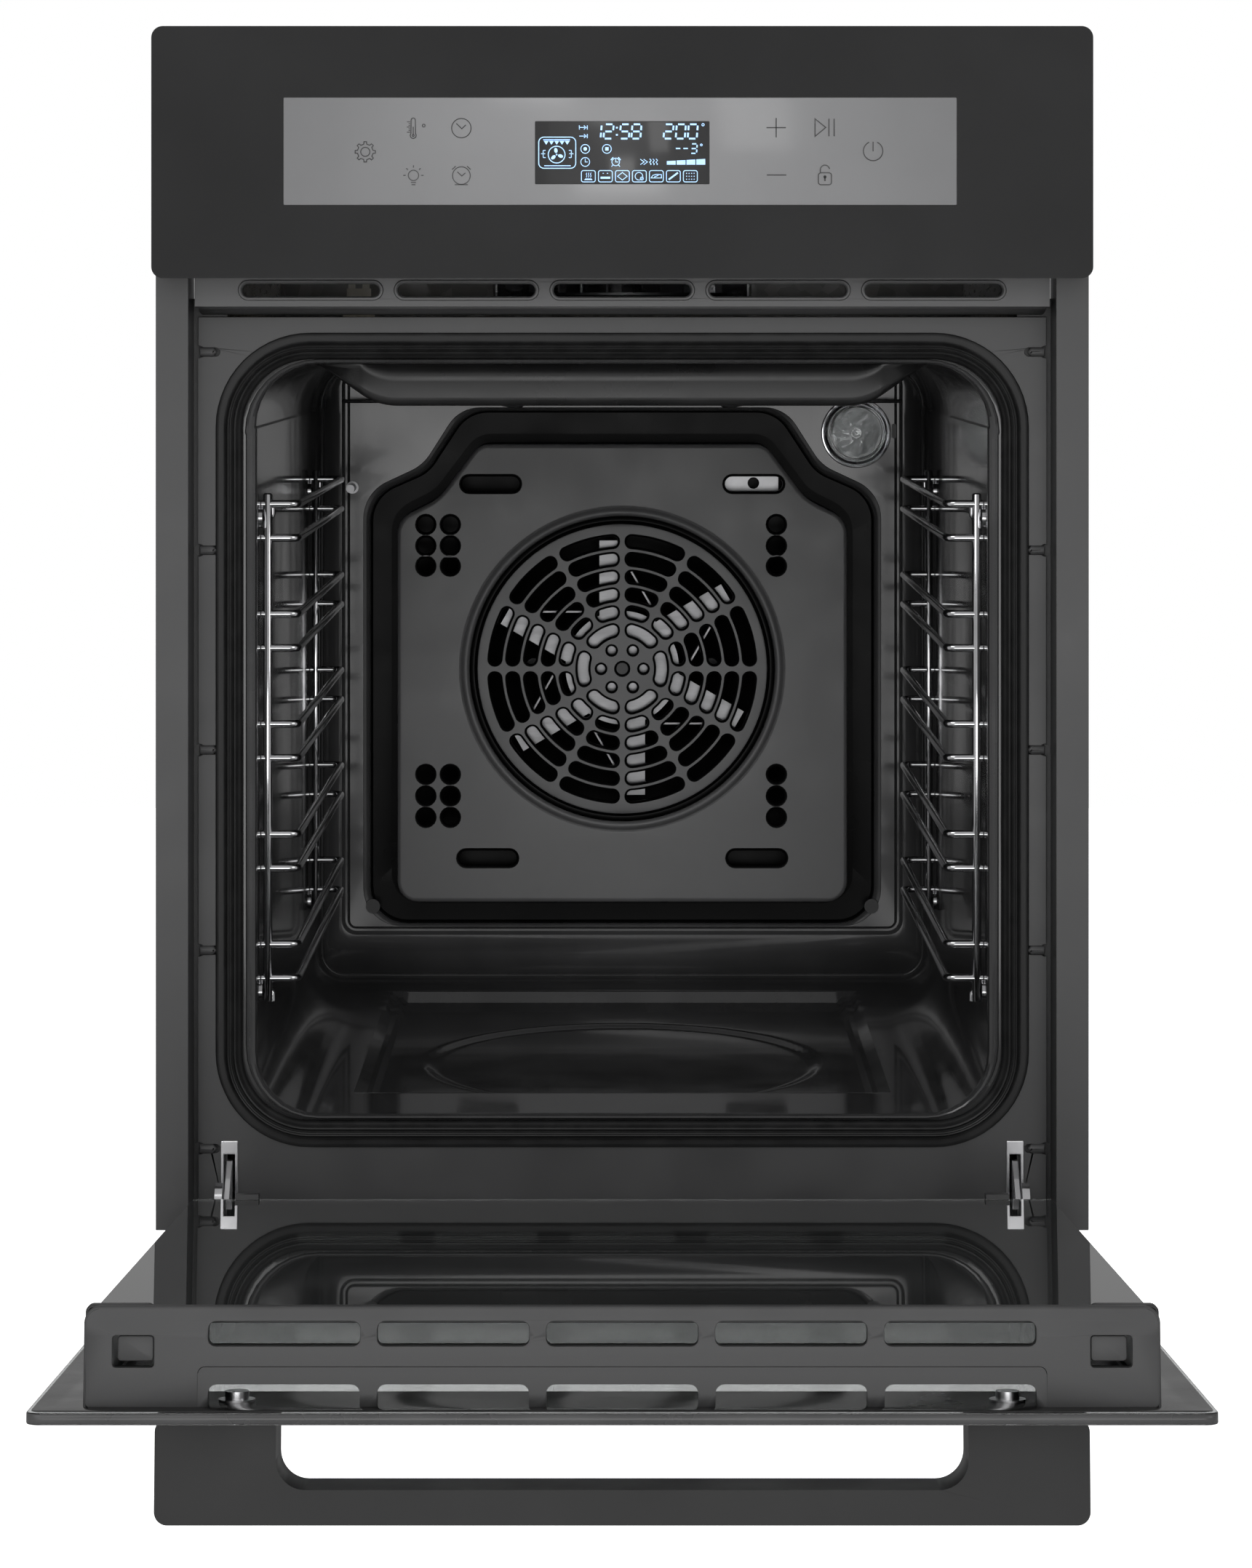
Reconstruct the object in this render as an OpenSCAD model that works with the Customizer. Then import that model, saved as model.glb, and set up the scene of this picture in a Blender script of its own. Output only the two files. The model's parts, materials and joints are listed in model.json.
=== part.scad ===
// Slim built-in electric oven with a drop-down glass door, shown with the door open.
// X runs to the right, +Y into the cabinet and +Z up, in millimetres.
// The origin is on the cabinet's front plane, at mid width, level with the casing's underside.

/* [Front] */
// Width of the control glass and of the outer door glass
front_w = 448; // [446:1:450]
// Height of the control glass
fascia_h = 120; // [116:1:124]
// Gap between the control glass and the closed door
fascia_gap = 4; // [3:0.5:5]
// Thickness of the front glasses
glass_t = 4.5; // [4:0.5:5]
// How far the closed door drops below the casing
door_drop = 18; // [16:1:20]

/* [Casing] */
// Half width of the casing
casing_x = 206; // [205:0.5:207]
// Height of the casing
casing_h = 574; // [572:1:576]
// Depth from the cabinet front plane to the rear panel
casing_d = 530; // [525:1:540]
// Thickness of the casing sheets
sheet = 1; // [0.8:0.1:1.2]

/* [Cavity] */
// Width of the cooking cavity
cavity_w = 355; // [352:1:358]
// Height of the cooking cavity
cavity_h = 364; // [360:1:368]
// Level of the cavity floor
floor_z = 51.5; // [50:0.5:53]
// Front plane of the recessed front frame
frame_y = 22; // [22:0.5:23]
// Plane of the cavity's back wall
back_y = 461; // [455:1:465]
// Enamelled sheet thickness
enamel_t = 1.2; // [1:0.1:1.4]

/* [Fan] */
// Height of the convection fan's axis
fan_z = 234.8; // [230:0.2:240]
// Height that the fan cover stands proud of the back wall
cover_depth = 27; // [25:0.5:30]
// Radius of the fan wheel
wheel_r = 74; // [70:1:76]
// Number of fan arms
arm_count = 6; // [5:1:6]

/* [Door] */
// Angle between the closed door and the open door
open_angle = 84.8; // [80:0.2:90]
// Position of the hinge pins, behind the front plane
hinge_y = -6.4; // [-8:0.2:-5]
// Height of the hinge pins
hinge_z = -3.2; // [-4:0.2:-2]
// Half width of the door's inner frame
inner_x = 203; // [202:0.5:204]
// Plane that the door's inner frame reaches when closed
inner_y = 20; // [19:0.5:20.5]
// Plane of the innermost glass when closed
inner_glass_y = 16.5; // [16:0.5:17]

/* [Racks] */
// Number of shelf levels
level_count = 5; // [3:1:5]
// Height of the lowest guide
level_z = 113.6; // [110:0.2:116]
// Height between shelf levels
level_pitch = 54.1; // [50:0.1:54.2]
// Height between the two wires of a guide
wire_gap = 16.7; // [14:0.1:18]

/* [Hidden] */
$fn = 48;

front_y = -22;
glass_back = front_y + glass_t;
door_top = 453;
panel_z0 = door_top + fascia_gap;
panel_z1 = panel_z0 + fascia_h;
front_gap = 6.2;
cavity_top = floor_z + cavity_h;
cavity_mid = floor_z + cavity_h / 2;
cavity_r = 30;
frame_back = frame_y + enamel_t;
frame_top = 438.6;
flange_back = frame_back + enamel_t;
trim_x0 = 208.3;
trim_wall = 1.2;
foot_x0 = 200.4;
foot_y = 26;
foot_t = 1.5;
dot_x = 205.6;
louvre_x = 198.2;
dot_z = [34.7, 131, 228.3, 325.3, 421.6];
mount_z = [131, 421.6];
gasket_w = 395;
gasket_h = 395.6;
gasket_z = 233.2;
gasket_r = 46;
gasket_front = inner_glass_y + 0.3;
lip_w = 5;
bulb_w = 8;
cover_y = back_y - cover_depth;
cover_t = 1;
shaft_r = 4;
run_gap = 0.05;
recess_x = 131.5;
recess_y0 = 83;
recess_y1 = 410;
recess_depth = 5;
rail_z0 = 410;
rail_z1 = 440;
glass_top = 414.8;
inner_z0 = 33;
handle_z0 = 411;
handle_z1 = 437;
handle_x = 177;
handle_reach = 39.7;
grip_x = 131;
grip_depth = 26.5;
screw_x = 147;
screw_z = 424;
hinge_x = 190.6;
arm_t = 3;
pin_r = 4;
lamp_x = 137;
lamp_z = 371;
probe_x = -158;
probe_z = 339;
rack_x = 174.2;
guide_x = 159.5;
rack_y0 = 47.7;
rack_y1 = 384;
rack_z0 = 102;
rack_z1 = 352;
rod_r = 2.3;
peg_z = [107, 340];
wire_r = 1.8;
element_z = 135;
grill_z = 397;
blower_y = 400;
blower_z0 = 448;
vent_y = 4;
vent_z0 = 443.5;
catch_x = 185.15;

// ---- shared shapes ----

// A rounded rectangle about the origin
module rrect(w, h, r) {
    square([w - 2 * r, h], center = true);
    square([w, h - 2 * r], center = true);
    for (x = [-1, 1], y = [-1, 1])
        translate([x * (w / 2 - r), y * (h / 2 - r)]) circle(r);
}

// Stands an outline drawn in X and Z up and gives it a thickness from y0 to y1
module slab_y(y0, y1) {
    translate([0, y1, 0]) rotate([90, 0, 0]) linear_extrude(y1 - y0) children();
}

// Stands a solid made on the XY plane up, with its +Z towards the front
module face_front(y) {
    translate([0, y, 0]) rotate([90, 0, 0]) children();
}

function unit(v) = v / norm(v);

// Points that round the corner at b, between a and c, to radius r
function round_corner(a, b, c, r) =
    let (
        u = unit(a - b),
        v = unit(c - b),
        half = acos(u * v) / 2,
        mid = b + unit(u + v) * r / sin(half),
        start = b + u * r / tan(half) - mid,
        turn = (cross(u, v) < 0 ? 1 : -1) * (180 - 2 * half)
    )
    [for (t = [0:0.25:1])
        let (k = turn * t)
        mid + [start.x * cos(k) - start.y * sin(k), start.x * sin(k) + start.y * cos(k)]];

// A box from its two corners
module block(lo, hi) {
    translate(lo) cube(hi - lo);
}

// A slot with round ends, length l and width w
module slot(l, w) {
    square([l - w, w], center = true);
    for (s = [-1, 1]) translate([s * (l - w) / 2, 0]) circle(w / 2);
}

// Sweeps a profile round a rounded rectangle; the profile's X points outward and Y upward
module ring_sweep(w, h, r) {
    for (sx = [0, 1], sy = [0, 1])
        mirror([sx, 0, 0]) mirror([0, sy, 0])
            translate([w / 2 - r, h / 2 - r, 0])
                rotate_extrude(angle = 90) translate([r, 0]) children();
    for (sx = [0, 1])
        mirror([sx, 0, 0]) translate([w / 2, h / 2 - r, 0])
            rotate([90, 0, 0]) linear_extrude(h - 2 * r) children();
    for (sy = [0, 1])
        mirror([0, sy, 0]) rotate([0, 0, 90]) translate([h / 2, w / 2 - r, 0])
            rotate([90, 0, 0]) linear_extrude(w - 2 * r) children();
}

// Turns a piece of the closed door to the open door
module on_door() {
    translate([0, hinge_y, hinge_z]) rotate([open_angle, 0, 0])
        translate([0, -hinge_y, -hinge_z]) children();
}

// Places a piece on the left or right side; side is -1 on the left
module at_side(side) {
    mirror([side < 0 ? 1 : 0, 0, 0]) children();
}

// A rod along X, Y or Z
module rod_x(x0, x1, y, z, r) {
    translate([x0, y, z]) rotate([0, 90, 0]) cylinder(h = x1 - x0, r = r);
}
module rod_y(x, y0, y1, z, r) {
    translate([x, y1, z]) rotate([90, 0, 0]) cylinder(h = y1 - y0, r = r);
}
module rod_z(x, y, z0, z1, r) {
    translate([x, y, z0]) cylinder(h = z1 - z0, r = r);
}

// A pan screw whose head stands forward of y
module screw_front(x, y, z, head_r, shank_r, length) {
    rod_y(x, y - 1.6, y, z, head_r);
    rod_y(x, y - 0.1, y + length, z, shank_r);
}

// ---- casing ----

module base_plate() {
    color("#9a9c9e") difference() {
        union() {
            block([-casing_x, foot_y + foot_t, 0], [casing_x, casing_d, sheet]);
            block([-180, -2, 0], [180, foot_y + foot_t + 1, sheet]);
            block([-180, foot_y + foot_t, sheet], [180, foot_y + foot_t + sheet, 8]);
        }
        for (x = [-120:40:120])
            translate([x, 280, -1]) linear_extrude(sheet + 2) rotate(90) slot(90, 8);
    }
}

module side_panel(side) {
    inner = casing_x - sheet;
    color("#9a9c9e") at_side(side) difference() {
        union() {
            block([inner, foot_y + foot_t, sheet], [casing_x, casing_d - sheet, casing_h]);
            block([inner, front_gap, panel_z0 + 6], [casing_x, foot_y + foot_t + 1, casing_h]);
        }
        for (z = mount_z)
            block([casing_x - 5, foot_y, z - 6], [casing_x + 5, foot_y + 40, z + 6]);
        for (i = [0:5])
            translate([casing_x - 5, 300 + i * 24, 510]) rotate([90, 0, 90])
                linear_extrude(10) rotate(90) slot(50, 6);
        translate([casing_x - 5, 60, 300]) cube([10, 60, 10]);
    }
}

module rear_panel() {
    color("#9a9c9e") difference() {
        slab_y(casing_d - sheet, casing_d)
            translate([-casing_x, sheet]) square([2 * casing_x, casing_h - sheet]);
        for (i = [0:7])
            face_front(casing_d + 1) translate([-70 + i * 20, 500, 0])
                linear_extrude(sheet + 2) rotate(90) slot(60, 7);
        rod_y(150, casing_d - 5, casing_d + 5, 522, 8);
    }
}

module top_cover() {
    color("#9a9c9e") difference() {
        block([-casing_x, front_gap, casing_h], [casing_x, casing_d, casing_h + sheet]);
        for (i = [0:6], j = [0, 1])
            translate([-90 + i * 30, 330 + j * 100, casing_h - 1])
                linear_extrude(sheet + 2) rotate(90) slot(70, 8);
    }
}

// A side trim: the visible face, the inner wall and the fixing foot
module side_trim(side) {
    color("#3b3b3c") at_side(side) difference() {
        union() {
            block([trim_x0, -2, 0], [front_w / 2, 0, panel_z0 + 3]);
            block([trim_x0, -0.1, 0], [trim_x0 + trim_wall, foot_y + foot_t, panel_z0 + 3]);
            block([foot_x0, foot_y, 0], [trim_x0 + 0.1, foot_y + foot_t, vent_z0 - 2]);
        }
        for (z = dot_z) rod_y(dot_x, foot_y - 5, foot_y + 5, z, 2);
    }
}

module front_frame() {
    color("#3a3a3b") slab_y(frame_y, frame_back) difference() {
        translate([-casing_x, sheet]) square([2 * casing_x, frame_top - sheet]);
        translate([0, gasket_z])
            rrect(gasket_w - 2 * lip_w, gasket_h - 2 * lip_w, gasket_r - lip_w);
        for (s = [-1, 1], z = dot_z) {
            translate([s * dot_x, z]) circle(2.9);
            translate([s * louvre_x, z]) slot(5.6, 4.2);
        }
        for (s = [-1, 1]) translate([s * hinge_x - 2.6, 7]) square([5.2, 25]);
    }
}

// ---- cavity ----

module cavity_shell() {
    w_out = cavity_w + 2 * enamel_t;
    h_out = cavity_h + 2 * enamel_t;
    color("#1d1d1e") difference() {
        union() {
            slab_y(frame_y - 3, back_y) translate([0, cavity_mid])
                rrect(w_out, h_out, cavity_r + enamel_t);
            face_front(flange_back) translate([0, cavity_mid, 0]) linear_extrude(enamel_t)
                rrect(cavity_w + 39, cavity_h + 30, cavity_r + 16);
            face_front(frame_y - 1.8) translate([0, cavity_mid, 0]) linear_extrude(enamel_t)
                rrect(cavity_w + 11, cavity_h + 4.6, cavity_r + 1);
            block([-recess_x - 3, recess_y0 - 3, floor_z - recess_depth - enamel_t],
                [recess_x + 3, recess_y1 + 3, floor_z - 0.5]);
        }
        slab_y(0, back_y + 1) translate([0, cavity_mid]) rrect(cavity_w, cavity_h, cavity_r);
        block([-recess_x, recess_y0, floor_z - recess_depth], [recess_x, recess_y1, floor_z + 5]);
    }
}

module cavity_back() {
    w_out = cavity_w + 2 * enamel_t;
    h_out = cavity_h + 2 * enamel_t;
    color("#2b2b2c") difference() {
        union() {
            slab_y(back_y, back_y + enamel_t) translate([0, cavity_mid])
                rrect(w_out, h_out, cavity_r + enamel_t);
            // embossed frame round the fan cover
            difference() {
                face_front(back_y) translate([0, 238, 0])
                    ring_sweep(318, 312, 14) polygon([[-5, -0.2], [5, -0.2], [3, 3], [-3, 3]]);
                rod_y(lamp_x, back_y - 5, back_y + enamel_t / 2, lamp_z, 22);
                rod_y(probe_x, back_y - 5, back_y + enamel_t / 2, probe_z, 6.2);
            }
        }
        rod_y(0, back_y - 9, back_y + 9, fan_z, 12);
        rod_y(lamp_x, back_y - 9, back_y + 9, lamp_z, 17.3);
        rod_y(probe_x, back_y - 9, back_y + 9, probe_z, 3);
        for (s = [-1, 1]) {
            rod_y(s * 146, back_y - 9, back_y + 9, 93.7, 1.9);
            rod_y(s * 60, back_y - 9, back_y + 9, grill_z - 8, 3.7);
            rod_y(s * 9, back_y - 9, back_y + 9, element_z, 3.7);
        }
    }
}

// A hanging pressing at the front of the ceiling, seen as a wide downward bow
module bow_outline() {
    top_z = cavity_top - 0.3;
    drop = 20.5;
    polygon(concat(
        [[-150, top_z]],
        [for (t = [0:0.125:1])
            [-150 + 34 * t, top_z - 2 - (drop - 2) * (1 - cos(180 * t)) / 2]],
        [for (t = [1:-0.125:0])
            [150 - 34 * t, top_z - 2 - (drop - 2) * (1 - cos(180 * t)) / 2]],
        [[150, top_z]]
    ));
}

module ceiling_deflector() {
    color("#262627") difference() {
        slab_y(56, 90) bow_outline();
        slab_y(57.2, 91) translate([0, 1.4]) bow_outline();
    }
}

module insulation_blanket() {
    color("#c9b36a") difference() {
        block([-200, 31, 14], [200, back_y - 1, 437]);
        block([-180.2, 30, 35], [180.2, back_y, 418.5]);
        for (s = [-1, 1])
            at_side(s) block([182, 30, 13], [201, 94, 40]);
    }
}

// Cross-section of the door seal: a flat lip on the frame and a ribbed bulb inside it
module gasket_profile() {
    back = frame_y - frame_back;
    front = frame_y - gasket_front;
    polygon([
        [0, 0], [-lip_w, 0], [-lip_w, back], [-lip_w - bulb_w, back],
        [-lip_w - bulb_w, 1.2], [-lip_w - 7.2, 2], [-lip_w - 6.6, 3.6],
        [-lip_w - 5.2, front], [-lip_w - 3, front], [-lip_w - 2, 3.8],
        [-lip_w - 1.6, 2.4], [-lip_w - 0.8, 1.4], [-lip_w + 0.4, 1.6],
        [-2, 1.1], [-0.4, 0.9]
    ]);
}

module door_gasket() {
    color("#141414") face_front(frame_y) translate([0, gasket_z, 0])
        ring_sweep(gasket_w, gasket_h, gasket_r) gasket_profile();
}

// ---- convection fan and heaters ----

// Outline of the fan cover, with its upper corners cut away in an S-curve; inset moves it in
module cover_outline(inset = 0) {
    low = [130.5 - inset, 99.3 + inset];
    waist = [130.5 - inset, 321.5 - 0.62 * inset];
    dip = [106.6 - 0.66 * inset, 333.5 - 0.79 * inset];
    peak = [82.8 - 0.5 * inset, 365.2 - inset];
    right = concat(
        round_corner([0, low.y], low, waist, 12),
        round_corner(low, waist, dip, 14),
        round_corner(waist, dip, peak, 28),
        round_corner(dip, peak, [0, peak.y], 12)
    );
    polygon(concat(right, [for (i = [len(right) - 1:-1:0]) [-right[i][0], right[i][1]]]));
}

// One curved slot of the grille, from angle a0 to a1 at radius r
module arc_slot(r, width, a0, a1) {
    middle = (a0 + a1) / 2;
    intersection() {
        difference() {
            circle(r + width / 2);
            circle(r - width / 2);
        }
        polygon([
            [0, 0], [2 * r * cos(a0), 2 * r * sin(a0)],
            [2 * r * cos(middle), 2 * r * sin(middle)],
            [2 * r * cos(a1), 2 * r * sin(a1)]
        ]);
    }
}

// Every slot of the round grille
module grille_slots() {
    width = 6.8;
    bridge = 5.2;
    for (ring = [0:4], i = [0:11]) {
        r = 33 + 10.25 * ring;
        half = 15 - asin(bridge / 2 / r);
        arc_slot(r, width, 30 * i + 15 - half, 30 * i + 15 + half);
    }
    for (i = [0:5]) {
        arc_slot(22.8, width, 60 * i - 23, 60 * i + 23);
        translate([12.4 * cos(60 * i), 12.4 * sin(60 * i)]) circle(3);
    }
    circle(4.2);
}

module fan_cover() {
    color("#4a4a4b") difference() {
        slab_y(cover_y, back_y) cover_outline();
        slab_y(cover_y + cover_t, back_y + 1) cover_outline(cover_t);
        slab_y(cover_y - 1, cover_y + 5) {
            translate([0, fan_z]) grille_slots();
            for (s = [-1, 1]) {
                translate([s * 76.3, 342]) slot(33.5, 8.6);
                translate([s * 78, 125]) slot(33.5, 8.6);
            }
            for (z = [318.5, 306.2, 294.4, 173.6, 161.1, 148.7], x = [-113.9, -99.7, 89.4])
                translate([x, z]) circle(5);
        }
    }
}

module cover_screws() {
    color("#2a2a2a") for (s = [-1, 1])
        screw_front(s * 146, back_y, 93.7, 4.2, 1.8, 9);
}

module ring_element() {
    y = back_y - 12;
    color("#8d9095") {
        translate([0, y, fan_z]) rotate([90, 0, 0]) rotate_extrude() translate([86, 0]) circle(3.2);
        for (s = [-1, 1]) {
            rod_z(s * 9, y + 8, element_z, fan_z - 89.4, 3.2);
            rod_y(s * 9, y + 5, back_y + 22, element_z, 3.2);
        }
        for (s = [-1, 1]) rod_y(s * 9, y - 1, y + 9, fan_z - 87, 3.0);
        // the plated bracket behind the cover's upper right slot
        difference() {
            union() {
                block([58, y + 0.4, 334], [91, y + 1.4, 348]);
                block([58, y + 0.4, 292], [66, y + 1.4, 334.1]);
            }
            rod_y(76.5, y - 1, y + 3, 342, 3.4);
        }
    }
}

module grill_element() {
    r = 3.2;
    color("#a9abae") {
        for (i = [0:5]) rod_y(-100 + 40 * i, 112, i % 5 == 0 ? 440 : 408, grill_z, r);
        for (i = [0:4]) {
            y = i % 2 == 0 ? 115 : 405;
            rod_x(-100 + 40 * i, -60 + 40 * i, y, grill_z, r - 0.1);
        }
        for (s = [-1, 1]) {
            rod_z(s * 100, 437, grill_z - 8, grill_z, r - 0.1);
            rod_y(s * 60, 437, back_y + 22, grill_z - 8, r - 0.1);
        }
        rod_x(-150, 150, 437, grill_z - 8, r);
    }
}

module bottom_element() {
    z = 38.5;
    color("#8d9095") {
        for (s = [-1, 1]) rod_y(s * 110, 100, back_y + 22, z, 3.2);
        rod_x(-113.1, 113.1, 103, z, 3.2);
        for (s = [-1, 1]) rod_y(s * 55, 140, 420, z, 3.2);
        rod_x(-58.1, 58.1, 143, z, 3.2);
        for (s = [-1, 1]) rod_x(s > 0 ? 52 : -113, s > 0 ? 113 : -52, 417, z, 3.0);
    }
}

module fan_motor() {
    y0 = back_y + enamel_t;
    color("#8a8d90") {
        difference() {
            union() {
                slab_y(y0 + 12, y0 + 14) translate([0, fan_z]) rrect(120, 60, 8);
                for (s = [-1, 1]) rod_y(s * 52, y0, y0 + 12.1, fan_z, 4);
                slab_y(y0 + 14, y0 + 44) translate([0, fan_z]) rrect(62, 56, 5);
                rod_y(0, y0 + 43, y0 + 54, fan_z, 16);
            }
            rod_y(0, y0 + 8, y0 + 50, fan_z, shaft_r + 0.4);
        }
        rod_y(0, back_y - 24, y0 + 50.5, fan_z, shaft_r);
    }
}

// A stamped wheel: a disc with flat arms, and vanes that stand behind it like a pinwheel
module fan_wheel() {
    y0 = back_y - 18;
    arm_w = 10.5;
    vane_at = 32;
    color("#b4b7ba") difference() {
        union() {
            rod_y(0, y0, y0 + 1, fan_z, 33);
            rod_y(0, y0, y0 + 12, fan_z, 8);
            for (i = [0:arm_count - 1])
                translate([0, 0, fan_z]) rotate([0, 360 / arm_count * i, 0]) {
                    block([-8 - arm_w / 2, y0, 8], [-8 + arm_w / 2, y0 + 1, wheel_r]);
                    rotate([0, 60, 0])
                        block([-wheel_r + 16, y0 + 0.1, vane_at], [-16, y0 + 16, vane_at + 1]);
                }
        }
        rod_y(0, y0 - 12, y0 + 18, fan_z, shaft_r + run_gap);
    }
}

module fan_nut() {
    y0 = back_y - 18.2;
    color("#c8c9cb") difference() {
        translate([0, y0, fan_z]) rotate([90, 0, 0]) cylinder(h = 5, r = 6.9, $fn = 6);
        rod_y(0, y0 - 9, y0 + 5, fan_z, shaft_r + run_gap);
    }
}

// ---- racks ----

// A side rack: two uprights and one pair of U-shaped wires at every level
module rack(side) {
    color("#c9cbcd") at_side(side) {
        for (y = [rack_y0, rack_y1]) {
            rod_z(rack_x, y, rack_z0, rack_z1, rod_r);
            for (z = peg_z) rod_x(rack_x, cavity_w / 2 - 0.1, y, z, wire_r);
        }
        for (i = [0:level_count - 1], k = [0, 1]) {
            z = level_z + i * level_pitch + k * wire_gap;
            for (y = [rack_y0, rack_y1]) rod_x(guide_x - wire_r, rack_x, y, z, wire_r);
            rod_y(guide_x, rack_y0, rack_y1, z, wire_r);
        }
    }
}

// Collars on the cavity walls that the racks' pegs sit in
module rack_studs() {
    color("#a9abad") for (s = [-1, 1], y = [rack_y0, rack_y1], z = peg_z)
        at_side(s) difference() {
            rod_x(cavity_w / 2 - 0.9, cavity_w / 2, y, z, 5);
            rod_x(cavity_w / 2 - 2, cavity_w / 2 + 1, y, z, wire_r + 0.2);
        }
}

// ---- lamp and sensors ----

module lamp_housing() {
    y0 = back_y + enamel_t;
    color("#c9cbcd") difference() {
        union() {
            rod_y(lamp_x, back_y - 1.6, back_y, lamp_z, 21.5);
            rod_y(lamp_x, back_y - 1, y0 + 36, lamp_z, 17);
        }
        rod_y(lamp_x, back_y - 9, y0 + 34, lamp_z, 15.6);
    }
}

module lamp_bulb() {
    y0 = back_y + enamel_t;
    color("#e6e2d4") {
        translate([lamp_x, y0 + 16, lamp_z]) sphere(8);
        rod_y(lamp_x, y0 + 20, y0 + 34, lamp_z, 6);
    }
}

// A domed glass with a plain skirt that screws into the housing
module lamp_lens() {
    color([0.8, 0.85, 0.85, 0.5]) translate([lamp_x, back_y - 1.6, lamp_z]) rotate([90, 0, 0])
        rotate_extrude() polygon(concat(
            [[0, 6.5]],
            [for (a = [10:10:80]) [19.5 * sin(a), 0.6 + 5.9 * cos(a)]],
            [[19.5, 0.1], [15.4, 0.1], [15.4, -8], [13.6, -8], [13.6, 1.5], [0, 4]]
        ));
}

module temperature_probe() {
    color("#b9bbbd") {
        rod_y(probe_x, back_y - 22, back_y + 26, probe_z, 2.4);
        rod_y(probe_x, back_y - 1.4, back_y, probe_z, 3.6);
    }
}

module safety_thermostat() {
    color("#d8d2c4") {
        rod_z(-150, 390, 437, 447, 9);
        rod_z(-150, 390, 446.9, 455, 7);
        for (s = [-1, 1]) block([-150 + s * 4 - 2, 389.5, 454.9], [-150 + s * 4 + 2, 390.5, 463]);
    }
}

module terminal_block() {
    color("#e2dfd6") difference() {
        block([125, casing_d - 31, 546], [175, casing_d - sheet, 566]);
        for (i = [0:2]) {
            rod_y(134 + 16 * i, casing_d - 40, casing_d - 10, 556, 4);
            rod_z(134 + 16 * i, casing_d - 14, 560, 570, 3);
        }
    }
}

// The mains cable's inlet: a bush with a bore through the rear panel
module cable_clamp() {
    color("#1c1c1c") difference() {
        union() {
            rod_y(150, casing_d - 12, casing_d + 0.1, 522, 7.8);
            rod_y(150, casing_d, casing_d + 6, 522, 11);
            rod_y(150, casing_d - 14, casing_d - sheet - 0.4, 522, 10);
        }
        rod_y(150, casing_d - 30, casing_d + 30, 522, 5);
    }
}

// ---- door hinges, fixed side ----

module hinge_receiver(side) {
    color("#cfd0d2") at_side(side) {
        difference() {
            block([hinge_x - 4.2, frame_y - 1, 1.5], [hinge_x + 4.2, frame_y, 38.6]);
            block([hinge_x - 2.6, frame_y - 5, 7], [hinge_x + 2.6, frame_y + 5, 32]);
        }
        for (s = [-1, 1])
            block([hinge_x + s * 3 - 0.4, frame_back + 1.3, 1.6], [hinge_x + s * 3 + 0.4, 90, 34]);
        block([hinge_x - 3.4, 60, 1.6], [hinge_x + 3.4, 90, 3]);
    }
}

// The tongue that hooks into the receiver and carries the door's pin
module hinge_arm(side) {
    color("#c4c5c7") at_side(side) difference() {
        translate([hinge_x - arm_t / 2, 0, 0]) rotate([90, 0, 90]) linear_extrude(arm_t)
            union() {
                polygon([
                    [hinge_y, hinge_z - 8], [4, -4.5], [16, 5.5], [22, 9], [58, 9],
                    [58, 25], [52, 29], [46, 24], [30, 24], [26, 29], [20, 29],
                    [12, 22], [2, 12], [hinge_y - 4, hinge_z + 6.9]
                ]);
                translate([hinge_y, hinge_z]) circle(8);
            }
        rod_x(hinge_x - 5, hinge_x + 5, hinge_y, hinge_z, pin_r + run_gap);
        rod_x(hinge_x - 5, hinge_x + 5, 7, 9, 2.05);
    }
}

// The catch that is flipped over to hold the hinge open when the door is lifted off
module hinge_lock(side) {
    x0 = hinge_x + arm_t / 2 + 0.4;
    color("#dcdde0") at_side(side) {
        translate([x0, 0, 0]) rotate([90, 0, 90]) linear_extrude(3.6) {
            difference() {
                translate([12, 9]) circle(13);
                translate([18, 9]) circle(11);
                translate([7, -20]) square([40, 60]);
            }
            translate([7, 9]) circle(4.6);
            translate([-1, 7]) square([8, 4]);
        }
        rod_x(hinge_x - arm_t / 2 - 1, x0 + 0.1, 7, 9, 2);
    }
}

// ---- controls ----

module control_glass() {
    color("#252525") slab_y(front_y, glass_back)
        translate([0, (panel_z0 + panel_z1) / 2]) rrect(front_w, fascia_h, 5.5);
}

module control_carrier() {
    z0 = panel_z0 + 3;
    z1 = panel_z1 - 4;
    color("#1f1f20") difference() {
        block([-front_w / 2 + 4, glass_back, z0 + 0.2], [front_w / 2 - 4, 6, z1]);
        block([-front_w / 2 + 6, glass_back + 2, z0 + 2.2], [front_w / 2 - 6, 7, z1 - 2]);
        block([-164, glass_back - 1, 490], [164, glass_back + 5, 546]);
    }
}

module display_board() {
    color("#2f6b45") {
        block([-170, -8, 484], [170, -6.4, 552]);
        block([-43, glass_back, 500], [43, -7.9, 533.5]);
        for (s = [-1, 1], z = [486.5, 549.5]) rod_y(s * 166, -15.4, -7.9, z, 2);
    }
}

module power_board() {
    color("#2f6b45") {
        block([-170, 60, 520], [-20, 190, 521.6]);
        block([-150, 80, 521.5], [-110, 115, 550]);
        for (i = [0:4]) block([-98 + i * 15, 85, 521.5], [-86 + i * 15, 108, 538]);
        for (i = [0:3]) rod_z(-140 + i * 30, 160, 521.5, 545, 8);
        for (x = [-165, -25], y = [65, 185]) rod_z(x, y, 474, 520.1, 3);
        block([-172, 58, 473], [-18, 192, 474.1]);
    }
}

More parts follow.
